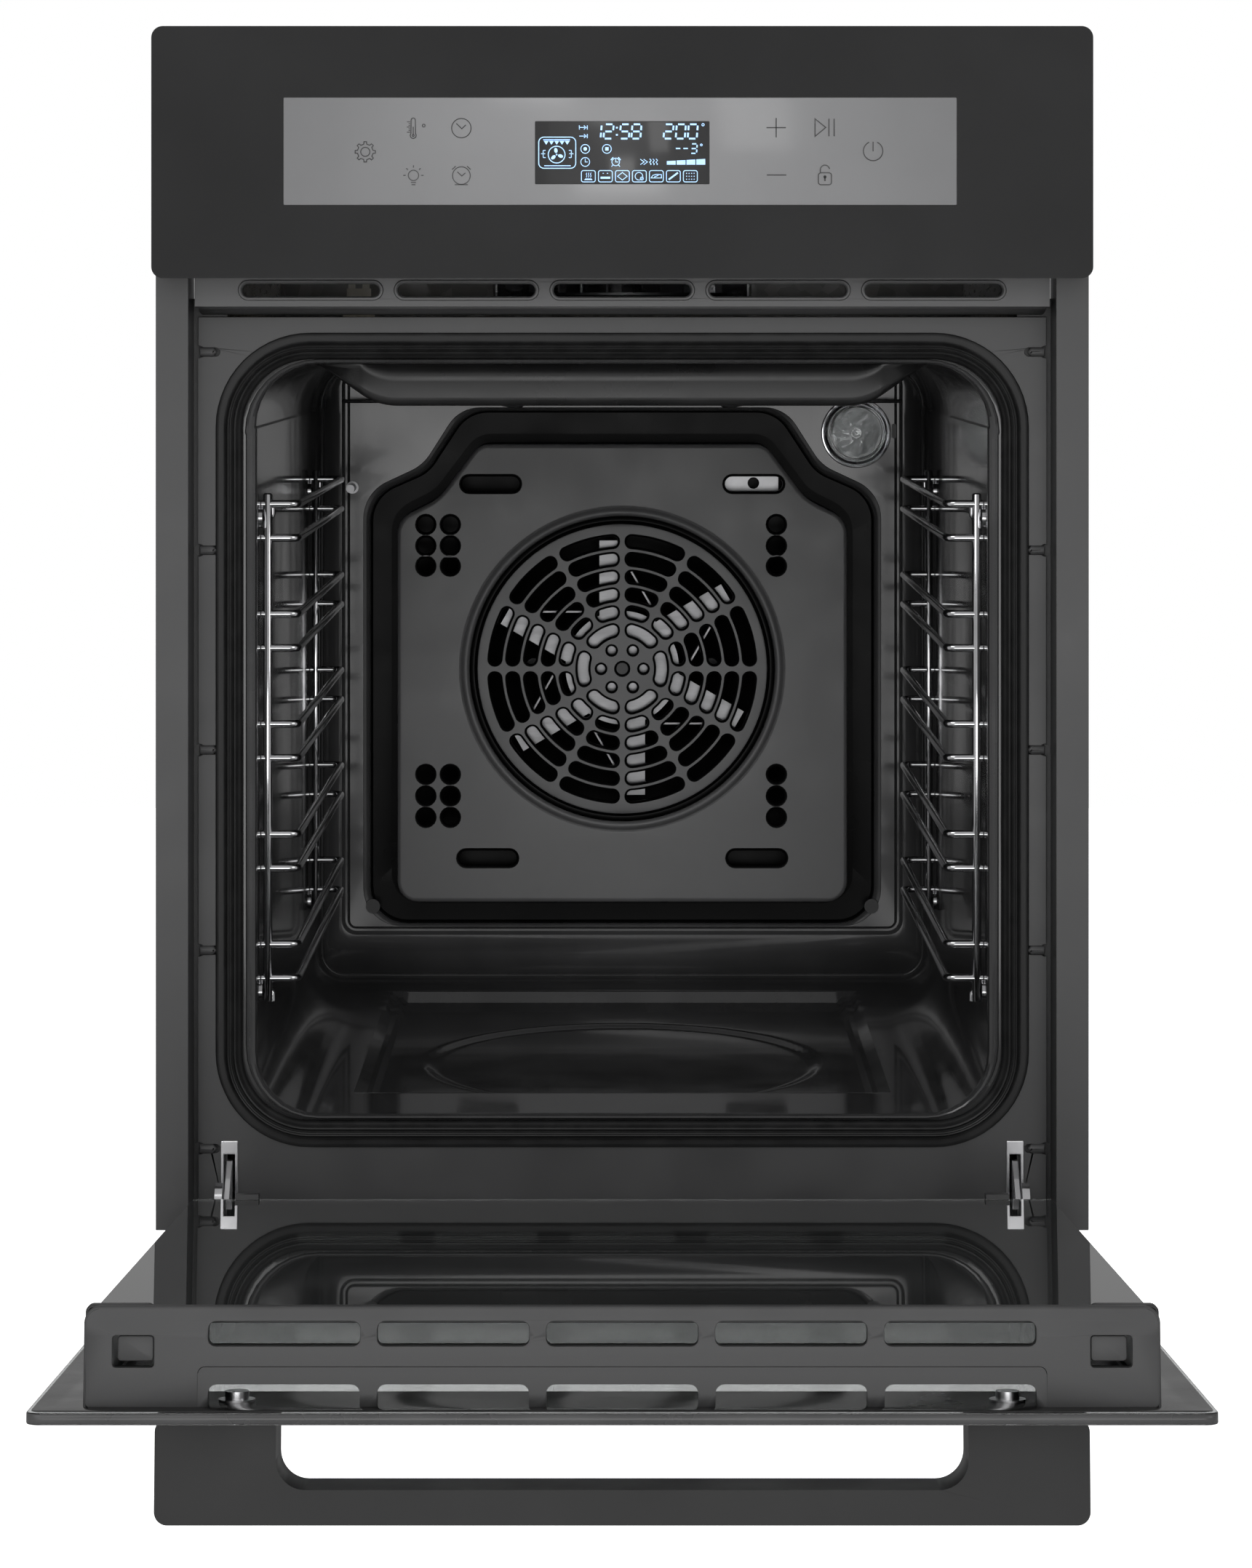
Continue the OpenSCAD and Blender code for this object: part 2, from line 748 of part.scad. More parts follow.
module vent_strip() {
    z1 = panel_z0 + 2.8;
    color("#4e4e4f") difference() {
        union() {
            slab_y(vent_y, vent_y + 1.2)
                translate([-casing_x, vent_z0]) square([2 * casing_x, z1 - vent_z0]);
            block([-casing_x + 1.2, vent_y + 1, vent_z0], [casing_x - 1.2, 60, vent_z0 + 1.2]);
        }
        for (i = [-2:2])
            slab_y(vent_y - 2, vent_y + 5) translate([i * 75, 451.5]) slot(68, 8);
    }
}

module air_duct() {
    color("#8f9294") difference() {
        block([-190, 60.2, 446], [190, 315, 472]);
        block([-189, 50, 447], [189, 330, 471]);
    }
}

module cooling_fan_housing() {
    color("#8f9294") difference() {
        union() {
            rod_z(0, blower_y, blower_z0, blower_z0 + 36, 74);
            block([-70, 315.2, blower_z0 + 0.5], [70, blower_y, blower_z0 + 22]);
        }
        rod_z(0, blower_y, blower_z0 + 1, blower_z0 + 35, 73);
        rod_z(0, blower_y, blower_z0 + 30, blower_z0 + 50, 42);
        block([-69, 300, blower_z0 + 1.5], [69, blower_y, blower_z0 + 21]);
    }
}

module cooling_fan_motor() {
    z0 = blower_z0 + 36;
    color("#77797c") {
        difference() {
            union() {
                block([-80, blower_y - 9, z0 + 9], [80, blower_y + 9, z0 + 10.5]);
                rod_z(0, blower_y, z0 + 10.4, z0 + 42, 27);
                for (s = [-1, 1]) rod_z(s * 62, blower_y, z0, z0 + 9.1, 3);
            }
            rod_z(0, blower_y, z0 + 5, z0 + 20, 3.4);
        }
        rod_z(0, blower_y, blower_z0 + 4, z0 + 20.2, 3);
    }
}

module cooling_wheel() {
    z0 = blower_z0 + 3;
    color("#a6a9ac") difference() {
        union() {
            rod_z(0, blower_y, z0, z0 + 1.5, 60);
            rod_z(0, blower_y, z0, z0 + 16, 8);
            for (i = [0:23])
                translate([0, blower_y, z0 + 1.4]) rotate([0, 0, 15 * i])
                    translate([46, -0.5, 0]) rotate([0, 0, 30]) cube([13, 1, 24]);
        }
        rod_z(0, blower_y, z0 - 2, z0 + 30, 3 + run_gap);
    }
}

// Screws that hold the trims and the casing sheets
module casing_screws() {
    color("#2c2c2d") {
        for (s = [-1, 1], i = [0, 2, 3])
            screw_front(s * dot_x, foot_y, dot_z[i], 2.6, 1.9, 1.4);
        for (s = [-1, 1], z = [60, 280, 480])
            translate([s * 195, casing_d + 1.6, z]) rotate([90, 0, 0]) cylinder(h = 1.6, r = 4);
        for (s = [-1, 1], y = [90, 300, 500])
            rod_z(s * 195, y, casing_h + sheet, casing_h + sheet + 1.6, 4);
    }
}

// ---- door, drawn closed ----

module door_outer_glass() {
    color("#1e1e1f") on_door() difference() {
        slab_y(front_y, glass_back) translate([0, (door_top - door_drop) / 2])
            rrect(front_w, door_top + door_drop, 5.5);
        for (s = [-1, 1]) rod_y(s * screw_x, front_y - 5, glass_back + 5, screw_z, 3.2);
    }
}

module door_middle_glass() {
    color([0.35, 0.37, 0.37, 0.5]) on_door()
        block([-180, -2, 46], [180, 2, 408]);
}

module door_inner_glass() {
    color([0.12, 0.12, 0.12, 0.8]) on_door()
        block([-inner_x + 1, inner_glass_y - 4, inner_z0 + 2], [inner_x - 1, inner_glass_y, glass_top]);
}

// A folded side profile that holds the glasses and the hinge
module door_profile(side) {
    back = inner_glass_y - 4.2;
    color("#2c2c2d") on_door() at_side(side) difference() {
        block([hinge_x + 9.4, glass_back + 0.2, inner_z0], [inner_x, back, rail_z0 - 0.2]);
        block([hinge_x + 5, glass_back + 2, inner_z0 - 1], [inner_x - 1.2, back - 1.2, rail_z0 + 1]);
    }
}

// The plastic rail across the door's top edge, with its two rows of air slots
module door_top_rail() {
    pitch = 64;
    slot_l = 57.5;
    slot_w = 9.1;
    front = glass_back + 0.2;
    color("#4b4b4c") on_door() difference() {
        translate([0, 0, rail_z0]) linear_extrude(rail_z1 - rail_z0) difference() {
            translate([-inner_x, front]) square([2 * inner_x, inner_y - front]);
            for (i = [-2:2]) {
                translate([i * pitch, inner_y - 11.15]) rrect(slot_l, slot_w, 3.2);
                translate([(i - 0.5) * pitch + (pitch - slot_l) / 2, glass_back - 1])
                    square([slot_l, slot_w]);
            }
        }
        // hollow underside
        block([-inner_x + 2, front + 2, rail_z0 - 1], [inner_x - 2, inner_y - 2, rail_z1 - 2.2]);
        for (s = [-1, 1])
            block([s * catch_x - 7.85, -3.35, rail_z1 - 10], [s * catch_x + 7.85, 8.35, rail_z1 + 1]);
        // slightly lowered field along the glass side
        block([-160.8, glass_back - 1, rail_z1 - 0.5], [160.8, -3, rail_z1 + 1]);
        // steps behind which the inner glass and the door seal lie
        block([-inner_x - 1, inner_glass_y - 4.2, rail_z0 - 1],
            [inner_x + 1, inner_y + 1, glass_top + 0.2]);
        block([-inner_x - 1, inner_glass_y - 0.1, rail_z0 - 1],
            [inner_x + 1, inner_y + 1, rail_z1 - 6.5]);
    }
}

module door_bottom_rail() {
    color("#2c2c2d") on_door() difference() {
        union() {
            block([-181, glass_back + 0.2, inner_z0 + 2],
                [181, inner_glass_y - 4.2, inner_z0 + 12]);
            // clips that hold the lower corners of the inner glass
            for (s = [-1, 1]) at_side(s) {
                block([171, 4, inner_z0 - 3], [182, 19, inner_z0 + 1.8]);
                block([171, 4, inner_z0 - 3], [181, inner_glass_y - 4.3, inner_z0 + 3]);
                block([171, inner_glass_y + 0.2, inner_z0 - 3], [182, 19, inner_z0 + 6]);
            }
        }
        for (i = [-2:2])
            translate([i * 64, -8, inner_z0]) linear_extrude(20) slot(50, 8);
        block([-182, -2.2, inner_z0 + 11], [182, 2.2, inner_z0 + 14]);
    }
}

// A flat loop handle; the slot behind the bar is the hand hole
module door_handle() {
    color("#3c3c3d") on_door() difference() {
        translate([0, 0, handle_z0]) linear_extrude(handle_z1 - handle_z0) difference() {
            translate([0, front_y - handle_reach / 2]) rrect(2 * handle_x, handle_reach, 5);
            translate([0, front_y - grip_depth / 2 + 10]) rrect(2 * grip_x, grip_depth + 20, 11);
        }
        for (s = [-1, 1]) rod_y(s * screw_x, front_y - 20, front_y + 5, screw_z, 2.45);
    }
}

module handle_screws() {
    color("#c4c5c7") on_door() for (s = [-1, 1]) {
        rod_y(s * screw_x, glass_back, glass_back + 1, screw_z, 7);
        rod_y(s * screw_x, glass_back + 0.9, glass_back + 4, screw_z, 4.6);
        rod_y(s * screw_x, front_y - 18, glass_back + 0.1, screw_z, 2.4);
    }
}

// The channel inside the door that carries the hinge pin
module hinge_body(side) {
    z0 = hinge_z - 9;
    z1 = 150;
    color("#9fa1a4") on_door() at_side(side) {
        for (s = [-1, 1])
            block([hinge_x + s * 7.6 - 0.7, -15, z0], [hinge_x + s * 7.6 + 0.7, inner_glass_y - 5, z1]);
        block([hinge_x - 8.2, -16.4, z0], [hinge_x + 8.2, -14.9, z1]);
        rod_x(hinge_x - 9.6, hinge_x + 9.3, hinge_y, hinge_z, pin_r);
        rod_x(hinge_x - 10.4, hinge_x - 8.2, hinge_y, hinge_z, 6);
    }
}

// The press catches that let the top rail slide off
module rail_catch(side) {
    color("#525253") on_door() at_side(side)
        block([catch_x - 7.4, -2.9, rail_z1 - 5], [catch_x + 7.4, 7.9, rail_z1 - 1.6]);
}

base_plate();
side_panel(-1);  // left_side_panel
side_panel(1);  // right_side_panel
rear_panel();
top_cover();
side_trim(-1);  // left_side_trim
side_trim(1);  // right_side_trim
front_frame();
cavity_shell();
cavity_back();
ceiling_deflector();
insulation_blanket();
door_gasket();
fan_cover();
cover_screws();
ring_element();
grill_element();
bottom_element();
fan_motor();
rack(-1);  // left_rack
rack(1);  // right_rack
rack_studs();
lamp_housing();
lamp_bulb();
lamp_lens();
temperature_probe();
safety_thermostat();
terminal_block();
cable_clamp();
hinge_receiver(-1);  // left_hinge_receiver
hinge_receiver(1);  // right_hinge_receiver
hinge_arm(-1);  // left_hinge_arm
hinge_arm(1);  // right_hinge_arm
hinge_lock(-1);  // left_hinge_lock
hinge_lock(1);  // right_hinge_lock
control_glass();
control_carrier();
display_board();
power_board();
vent_strip();
air_duct();
cooling_fan_housing();
cooling_fan_motor();
casing_screws();
fan_wheel();
fan_nut();
cooling_wheel();
door_outer_glass();
door_middle_glass();
door_inner_glass();
door_profile(-1);  // left_door_profile
door_profile(1);  // right_door_profile
door_top_rail();
door_bottom_rail();
door_handle();
handle_screws();
hinge_body(-1);  // left_hinge_body
hinge_body(1);  // right_hinge_body
rail_catch(-1);  // left_rail_catch
rail_catch(1);  // right_rail_catch
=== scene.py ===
"""A slim built-in oven with its door open: sheet metal, racks, glass, controls and a plain studio."""
import json
from math import atan2, cos, exp, hypot, pi, radians, sin, tan

import bmesh
import bpy
import numpy as np
from mathutils import Matrix, Vector


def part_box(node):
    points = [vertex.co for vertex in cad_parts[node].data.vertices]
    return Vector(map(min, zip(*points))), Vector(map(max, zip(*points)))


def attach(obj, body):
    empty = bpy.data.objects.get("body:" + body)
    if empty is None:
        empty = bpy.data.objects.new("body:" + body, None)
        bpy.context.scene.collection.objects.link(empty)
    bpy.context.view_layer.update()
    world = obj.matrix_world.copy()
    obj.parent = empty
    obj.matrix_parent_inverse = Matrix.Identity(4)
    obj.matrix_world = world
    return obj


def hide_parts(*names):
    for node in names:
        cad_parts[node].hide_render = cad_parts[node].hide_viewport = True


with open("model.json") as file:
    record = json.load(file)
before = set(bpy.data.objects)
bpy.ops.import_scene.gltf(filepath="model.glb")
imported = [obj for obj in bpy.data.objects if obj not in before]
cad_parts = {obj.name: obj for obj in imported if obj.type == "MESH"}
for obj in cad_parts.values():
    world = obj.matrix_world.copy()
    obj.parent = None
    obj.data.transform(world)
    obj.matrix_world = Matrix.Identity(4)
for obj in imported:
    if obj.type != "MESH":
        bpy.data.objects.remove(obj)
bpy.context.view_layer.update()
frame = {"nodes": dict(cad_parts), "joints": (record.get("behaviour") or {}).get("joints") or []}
MM = 0.001


class Span:
    """A CAD node's box at rest, in millimetres."""

    def __init__(self, node):
        low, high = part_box(node)
        self.x0, self.y0, self.z0 = (c / MM for c in low)
        self.x1, self.y1, self.z1 = (c / MM for c in high)


JOINTS = {joint["name"]: joint for joint in frame["joints"]}
OPEN = radians(JOINTS["door_hinge"]["range_deg"][1])
HINGE = Vector(JOINTS["door_hinge"]["pos_m"])
# Turns what is drawn on the closed door to the open door of the rest pose.
AS_OPENED = Matrix.Translation(HINGE) @ Matrix.Rotation(OPEN, 4, "X") @ Matrix.Translation(-HINGE)
FAN_Z = JOINTS["convection_fan_spin"]["pos_m"][2] / MM


def add_object(name, data):
    obj = bpy.data.objects.new(name, data)
    bpy.context.scene.collection.objects.link(obj)
    return obj


def pair(name):
    return [f"left_{name}", f"right_{name}"]


# ---- materials ----


def link(tree, source, target):
    tree.links.new(source, target)


def set_shader(material, socket, value):
    material.node_tree.nodes["Principled BSDF"].inputs[socket].default_value = value


def noise(tree, scale, detail=2.0, stretch=(1, 1, 1)):
    """Noise in the object's own coordinates; scale is waves per metre."""
    nodes = tree.nodes
    coords = nodes.new("ShaderNodeTexCoord")
    mapping = nodes.new("ShaderNodeMapping")
    mapping.inputs["Scale"].default_value = stretch
    texture = nodes.new("ShaderNodeTexNoise")
    texture.inputs["Scale"].default_value = scale
    texture.inputs["Detail"].default_value = detail
    link(tree, coords.outputs["Object"], mapping.inputs["Vector"])
    link(tree, mapping.outputs["Vector"], texture.inputs["Vector"])
    return texture.outputs["Fac"]


def remap(tree, value, low, high, in_low=0.3, in_high=0.7):
    """Spreads the noise's usual range over another range."""
    node = tree.nodes.new("ShaderNodeMapRange")
    node.inputs["From Min"].default_value = in_low
    node.inputs["From Max"].default_value = in_high
    node.inputs["To Min"].default_value = low
    node.inputs["To Max"].default_value = high
    link(tree, value, node.inputs["Value"])
    return node.outputs["Result"]


def two_tone(tree, value, first, second, in_low=0.35, in_high=0.65):
    """Blends two colours by a value."""
    ramp = tree.nodes.new("ShaderNodeValToRGB")
    ramp.color_ramp.elements[0].position = in_low
    ramp.color_ramp.elements[1].position = in_high
    ramp.color_ramp.elements[0].color = (*first, 1)
    ramp.color_ramp.elements[1].color = (*second, 1)
    link(tree, value, ramp.inputs["Fac"])
    return ramp.outputs["Color"]


def bump(tree, height, depth, below=None):
    """Adds a bump of that depth in metres on top of another bump."""
    node = tree.nodes.new("ShaderNodeBump")
    node.inputs["Strength"].default_value = 1.0
    node.inputs["Distance"].default_value = depth
    link(tree, height, node.inputs["Height"])
    if below is not None:
        link(tree, below, node.inputs["Normal"])
    return node.outputs["Normal"]


def finish(name, tone, vary, rough, metal=0.0, mottle=40.0, grain=(900, 2e-5), waves=None,
           coat=0.0, stretch=(1, 1, 1), rough_vary=0.06, specular=0.5):
    """A surface whose colour, roughness and relief all vary.

    tone and vary are its two colours, mottle the scale of their clouds. grain and waves are the
    scale and the depth in metres of its fine and its broad relief.
    """
    material = bpy.data.materials.new(name)
    material.use_nodes = True
    tree = material.node_tree
    shader = tree.nodes["Principled BSDF"]
    set_shader(material, "Metallic", metal)
    set_shader(material, "Coat Weight", coat)
    set_shader(material, "Coat Roughness", 0.05)
    set_shader(material, "Specular IOR Level", specular)
    set_shader(material, "IOR", 1.5)
    cloud = noise(tree, mottle, 4, stretch)
    link(tree, two_tone(tree, cloud, tone, vary), shader.inputs["Base Color"])
    fine = noise(tree, grain[0], 3, stretch)
    mixed = remap(tree, cloud, max(rough - rough_vary, 0.01), rough + rough_vary)
    link(tree, mixed, shader.inputs["Roughness"])
    normal = bump(tree, fine, grain[1])
    if waves:
        normal = bump(tree, noise(tree, waves[0], 1), waves[1], normal)
    link(tree, normal, shader.inputs["Normal"])
    material.diffuse_color = (*tone, 1)
    return material


def grey(level, blue=1.02):
    """A grey with a trace of blue."""
    return (level, level, level * blue)


def paint(name, tone, vary, *rest, **options):
    """A finish in two greys."""
    return finish(name, grey(tone), grey(vary), *rest, **options)


def glass(name, tint, rough=0.02, clear=1.0, ripple=None, specular=0.5):
    """Glass with a tint in its body; a blown or pressed one has a ripple in its surface."""
    material = finish(name, tint, tuple(c * 0.96 for c in tint), rough, 0, 6, (40, 4e-8),
                      ripple, 0, rough_vary=0.006, specular=specular)
    set_shader(material, "Transmission Weight", clear)
    return material


def glowing(material, colour, strength):
    """Makes a surface shine a little by itself."""
    set_shader(material, "Emission Color", (*colour, 1))
    set_shader(material, "Emission Strength", strength)
    return material


def galvanised():
    """Zinc spangle: flat crystals of slightly different tone and gloss."""
    material = paint("galvanised_sheet", 0.42, 0.5, 0.38, 0.9, 30, (1500, 1e-5))
    tree = material.node_tree
    shader = tree.nodes["Principled BSDF"]
    coords = tree.nodes.new("ShaderNodeTexCoord")
    cells = tree.nodes.new("ShaderNodeTexVoronoi")
    cells.inputs["Scale"].default_value = 110
    link(tree, coords.outputs["Object"], cells.inputs["Vector"])
    bright = tree.nodes.new("ShaderNodeSeparateColor")
    link(tree, cells.outputs["Color"], bright.inputs["Color"])
    tone = two_tone(tree, bright.outputs["Red"], grey(0.36), grey(0.52), 0.0, 1.0)
    link(tree, tone, shader.inputs["Base Color"])
    link(tree, remap(tree, bright.outputs["Green"], 0.28, 0.5, 0, 1), shader.inputs["Roughness"])
    return material


def wool():
    """Needled glass wool: long fine fibres over soft lumps."""
    material = finish("glass_wool", (0.62, 0.52, 0.3), (0.72, 0.64, 0.42), 0.9, 0, 90, (700, 8e-4),
                      (60, 2e-3), stretch=(1, 6, 1))
    set_shader(material, "Sheen Weight", 0.3)
    return material


MATERIALS = {
    "steel": galvanised(),
    "trim": paint("trim_paint", 0.018, 0.022, 0.36, 0, 25, (1100, 6e-6), (9, 2e-4)),
    "frame": paint("frame_enamel", 0.020, 0.024, 0.38, 0, 25, (1100, 8e-6), (9, 2e-4)),
    "vent": paint("vent_enamel", 0.036, 0.042, 0.38, 0, 25, (1100, 8e-6), (9, 2e-4)),
    "enamel": paint("black_enamel", 0.016, 0.022, 0.11, 0, 30, (500, 6e-6), (26, 2.2e-4),
                    coat=0.4, rough_vary=0.03),
    "cover": paint("cover_enamel", 0.060, 0.068, 0.4, 0, 30, (800, 8e-6), (16, 1e-4)),
    # Near-black enamel with little gloss: painted shade. It is used for the sunk field round the fan cover
    # and for the cover's skirt, slot edges and bead groove, and is darker than the enamel these parts are
    # made of.
    "recess": paint("painted_shade_enamel", 0.0015, 0.0025, 0.3, 0, 30, (800, 8e-6), (20, 1e-4), specular=0.1),
    "fan_steel": paint("fan_steel", 0.26, 0.33, 0.4, 1, 60, (900, 1e-5), stretch=(1, 1, 6)),
    "bow": paint("bow_enamel", 0.006, 0.008, 0.3, 0, 30, (800, 8e-6), (20, 2e-4)),
    "back": paint("back_wall_enamel", 0.03, 0.037, 0.16, 0, 30, (420, 1.2e-5), (30, 1.6e-4),
                  coat=0.3, rough_vary=0.04),
    "panel": paint("panel_glass", 0.0075, 0.0095, 0.05, 0, 12, (2500, 2e-7), (6, 2e-5), rough_vary=0.01),
    "print": paint("black_print", 0.006, 0.009, 0.22, 0, 30, (1500, 2e-6)),
    "edge_paint": paint("edge_paint", 0.024, 0.03, 0.3, 0, 30, (1500, 2e-6)),
    "outer_glass": glass("outer_glass", (0.46, 0.47, 0.47), 0.01),
    "middle_glass": glass("middle_glass", (0.88, 0.90, 0.89), 0.01, specular=0.15),
    "inner_glass": glass("inner_glass", (0.085, 0.088, 0.088), 0.012, 0.85),
    "lens": glass("lens_glass", (0.9, 0.92, 0.92), 0.03, 1.0, (260, 6e-5)),
    "bulb": glass("bulb_glass", (0.95, 0.93, 0.88), 0.02, 1.0, (200, 2e-5)),
    "rail": paint("rail_plastic", 0.018, 0.022, 0.5, 0, 30, (1600, 1.6e-5)),
    "handle": paint("handle_plastic", 0.003, 0.005, 0.5, 0, 30, (1500, 1.6e-5)),
    "plastic": paint("black_plastic", 0.014, 0.02, 0.42, 0, 60, (1500, 1.6e-5)),
    "rubber": paint("seal_rubber", 0.0045, 0.0065, 0.46, 0, 120, (1800, 2e-5)),
    "chrome": paint("chrome_wire", 0.72, 0.84, 0.13, 1, 60, (900, 4e-6), rough_vary=0.04),
    "plated": paint("plated_steel", 0.72, 0.84, 0.3, 1, 40, (1500, 1.5e-6)),
    "heater": paint("heater_steel", 0.3, 0.42, 0.36, 1, 70, (900, 1e-5)),
    "aluminium": paint("aluminium_sheet", 0.56, 0.66, 0.3, 1, 50, (700, 8e-6), stretch=(1, 1, 8)),
    "wool": wool(),
    "board": finish("board_green", (0.02, 0.12, 0.05), (0.03, 0.16, 0.07), 0.35, 0, 160, (500, 4e-5)),
    "ceramic": finish("white_ceramic", (0.72, 0.7, 0.64), (0.8, 0.78, 0.73), 0.4, 0, 90, (900, 2e-5)),
    "touch": paint("touch_print", 0.125, 0.133, 0.2, 0, 14, (2500, 4e-7), rough_vary=0.02),
    "symbol": paint("symbol_print", 0.018, 0.024, 0.25, 0, 60, (2500, 4e-7)),
    "window": paint("display_window", 0.02, 0.024, 0.16, 0, 30, (2500, 4e-7)),
    "lit": glowing(finish("lit_segment", (0.24, 0.40, 0.66), (0.28, 0.45, 0.72), 0.3, 0, 300, (2500, 4e-7)),
                   (0.25, 0.42, 0.7), 0.35),
}

CAD_FINISH = {
    "steel": ["base_plate", *pair("side_panel"), "rear_panel", "top_cover"],
    "trim": pair("side_trim"),
    "frame": ["front_frame"],
    "vent": ["vent_strip"],
    "enamel": ["cavity_shell", "cavity_back", "ceiling_deflector"],
    "cover": ["fan_cover"],
    "panel": ["control_glass"],
    "outer_glass": ["door_outer_glass"],
    "middle_glass": ["door_middle_glass"],
    "inner_glass": ["door_inner_glass"],
    "lens": ["lamp_lens"],
    "bulb": ["lamp_bulb"],
    "rail": ["door_top_rail", *pair("rail_catch")],
    "handle": ["door_handle"],
    "plastic": ["door_bottom_rail", *pair("door_profile"), "control_carrier", "cable_clamp",
                "casing_screws", "cover_screws", "fan_nut", "fan_motor"],
    "rubber": ["door_gasket"],
    "chrome": [*pair("rack"), "rack_studs", "lamp_housing", *pair("hinge_lock")],
    "plated": [*pair("hinge_receiver"), *pair("hinge_arm"), *pair("hinge_body"), "handle_screws"],
    "heater": ["ring_element", "grill_element", "bottom_element", "temperature_probe"],
    "fan_steel": ["fan_wheel"],
    "aluminium": ["air_duct", "cooling_fan_housing", "cooling_fan_motor", "cooling_wheel"],
    "wool": ["insulation_blanket"],
    "board": ["display_board", "power_board"],
    "ceramic": ["safety_thermostat", "terminal_block"],
}


def dress(obj, key):
    """Gives an object one of the materials."""
    obj.data.materials.clear()
    obj.data.materials.append(MATERIALS[key])


def ease_edges(obj, width, segments=2):
    """Rounds a CAD node's edges by a modifier, so that they catch the light."""
    weld = obj.modifiers.new("weld", "WELD")
    weld.merge_threshold = 1e-6
    bevel = obj.modifiers.new("bevel", "BEVEL")
    bevel.width = width * MM
    bevel.segments = segments
    bevel.limit_method = "ANGLE"
    bevel.angle_limit = radians(50)
    bevel.harden_normals = True


def dress_cad_nodes():
    for key, nodes in CAD_FINISH.items():
        for node in nodes:
            dress(frame["nodes"][node], key)
    for node in ["control_glass", "door_outer_glass"]:
        ease_edges(frame["nodes"][node], 0.7, 3)
    for node in [*pair("side_trim"), "front_frame", "vent_strip"]:
        ease_edges(frame["nodes"][node], 0.3)
    for node in ["door_handle", *pair("hinge_receiver"), *pair("hinge_arm"), *pair("rail_catch")]:
        ease_edges(frame["nodes"][node], 0.5)


# ---- outlines, in millimetres ----


def polar(cx, cz, r, degrees):
    a = radians(degrees)
    return (cx + r * cos(a), cz + r * sin(a))


def arc(cx, cz, r, a0, a1, steps):
    """Points along an arc from angle a0 to a1, in degrees."""
    return [polar(cx, cz, r, a0 + (a1 - a0) * i / steps) for i in range(steps + 1)]


def round_box(w, h, r, steps=6, cx=0.0, cz=0.0, r_low=None):
    """A rounded rectangle, counter-clockwise; its lower corners may have their own radius."""
    low = r if r_low is None else r_low
    points = arc(cx + w / 2 - r, cz + h / 2 - r, r, 0, 90, steps)
    points += arc(cx - w / 2 + r, cz + h / 2 - r, r, 90, 180, steps)
    points += arc(cx - w / 2 + low, cz - h / 2 + low, low, 180, 270, steps)
    points += arc(cx + w / 2 - low, cz - h / 2 + low, low, 270, 360, steps)
    return points


def ring(cx, cz, r, steps):
    return arc(cx, cz, r, 0, 360, steps)[:-1]


def turns(steps):
    """Even angles round a full turn, in radians."""
    return [2 * pi * k / steps for k in range(steps)]


def rounded(corners, steps=5):
    """Rounds a polygon; each corner is (x, z, radius)."""
    points = []
    count = len(corners)
    for i, (x, z, r) in enumerate(corners):
        here = Vector((x, z))
        if r <= 0:
            points.append((x, z))
            continue
        before = (Vector(corners[i - 1][:2]) - here).normalized()
        after = (Vector(corners[(i + 1) % count][:2]) - here).normalized()
        half = before.angle(after) / 2
        reach = r / tan(half)
        centre = here + (before + after).normalized() * (r / sin(half))
        start, end = here + before * reach, here + after * reach
        a0 = atan2(start.y - centre.y, start.x - centre.x)
        a1 = atan2(end.y - centre.y, end.x - centre.x)
        turn = (a1 - a0 + pi) % (2 * pi) - pi
        for k in range(steps + 1):
            a = a0 + turn * k / steps
            points.append((centre.x + r * cos(a), centre.y + r * sin(a)))
    return points


def grown(corners, grow):
    """Moves every side of a counter-clockwise cornered outline outward."""
    moved = []
    count = len(corners)
    for i, (x, z, r) in enumerate(corners):
        here = Vector((x, z))
        before = (here - Vector(corners[i - 1][:2])).normalized()
        after = (Vector(corners[(i + 1) % count][:2]) - here).normalized()
        one, two = Vector((before.y, -before.x)), Vector((after.y, -after.x))
        spot = here + (one + two) * (grow / (1 + one.dot(two)))
        outward = 1 if before.x * after.y - before.y * after.x > 0 else -1
        moved.append((spot.x, spot.y, max(r + outward * grow, 0.4) if r else 0))
    return moved


def both_sides(right):
    """Completes an outline that is given for its right half."""
    return right + [(-x, z, r) for x, z, r in right[::-1]]


def between(first, second, share):
    """A cornered outline part of the way from one to another."""
    return [tuple(a + (b - a) * share for a, b in zip(p, q)) for p, q in zip(first, second)]


def dense(outline, step=1.5):
    """Adds points along an outline's straight runs."""
    points = []
    for i, (x, z) in enumerate(outline):
        nx, nz = outline[(i + 1) % len(outline)]
        pieces = max(1, int(hypot(nx - x, nz - z) / step))
        points += [(x + (nx - x) * k / pieces, z + (nz - z) * k / pieces) for k in range(pieces)]
    return points


# ---- meshes ----


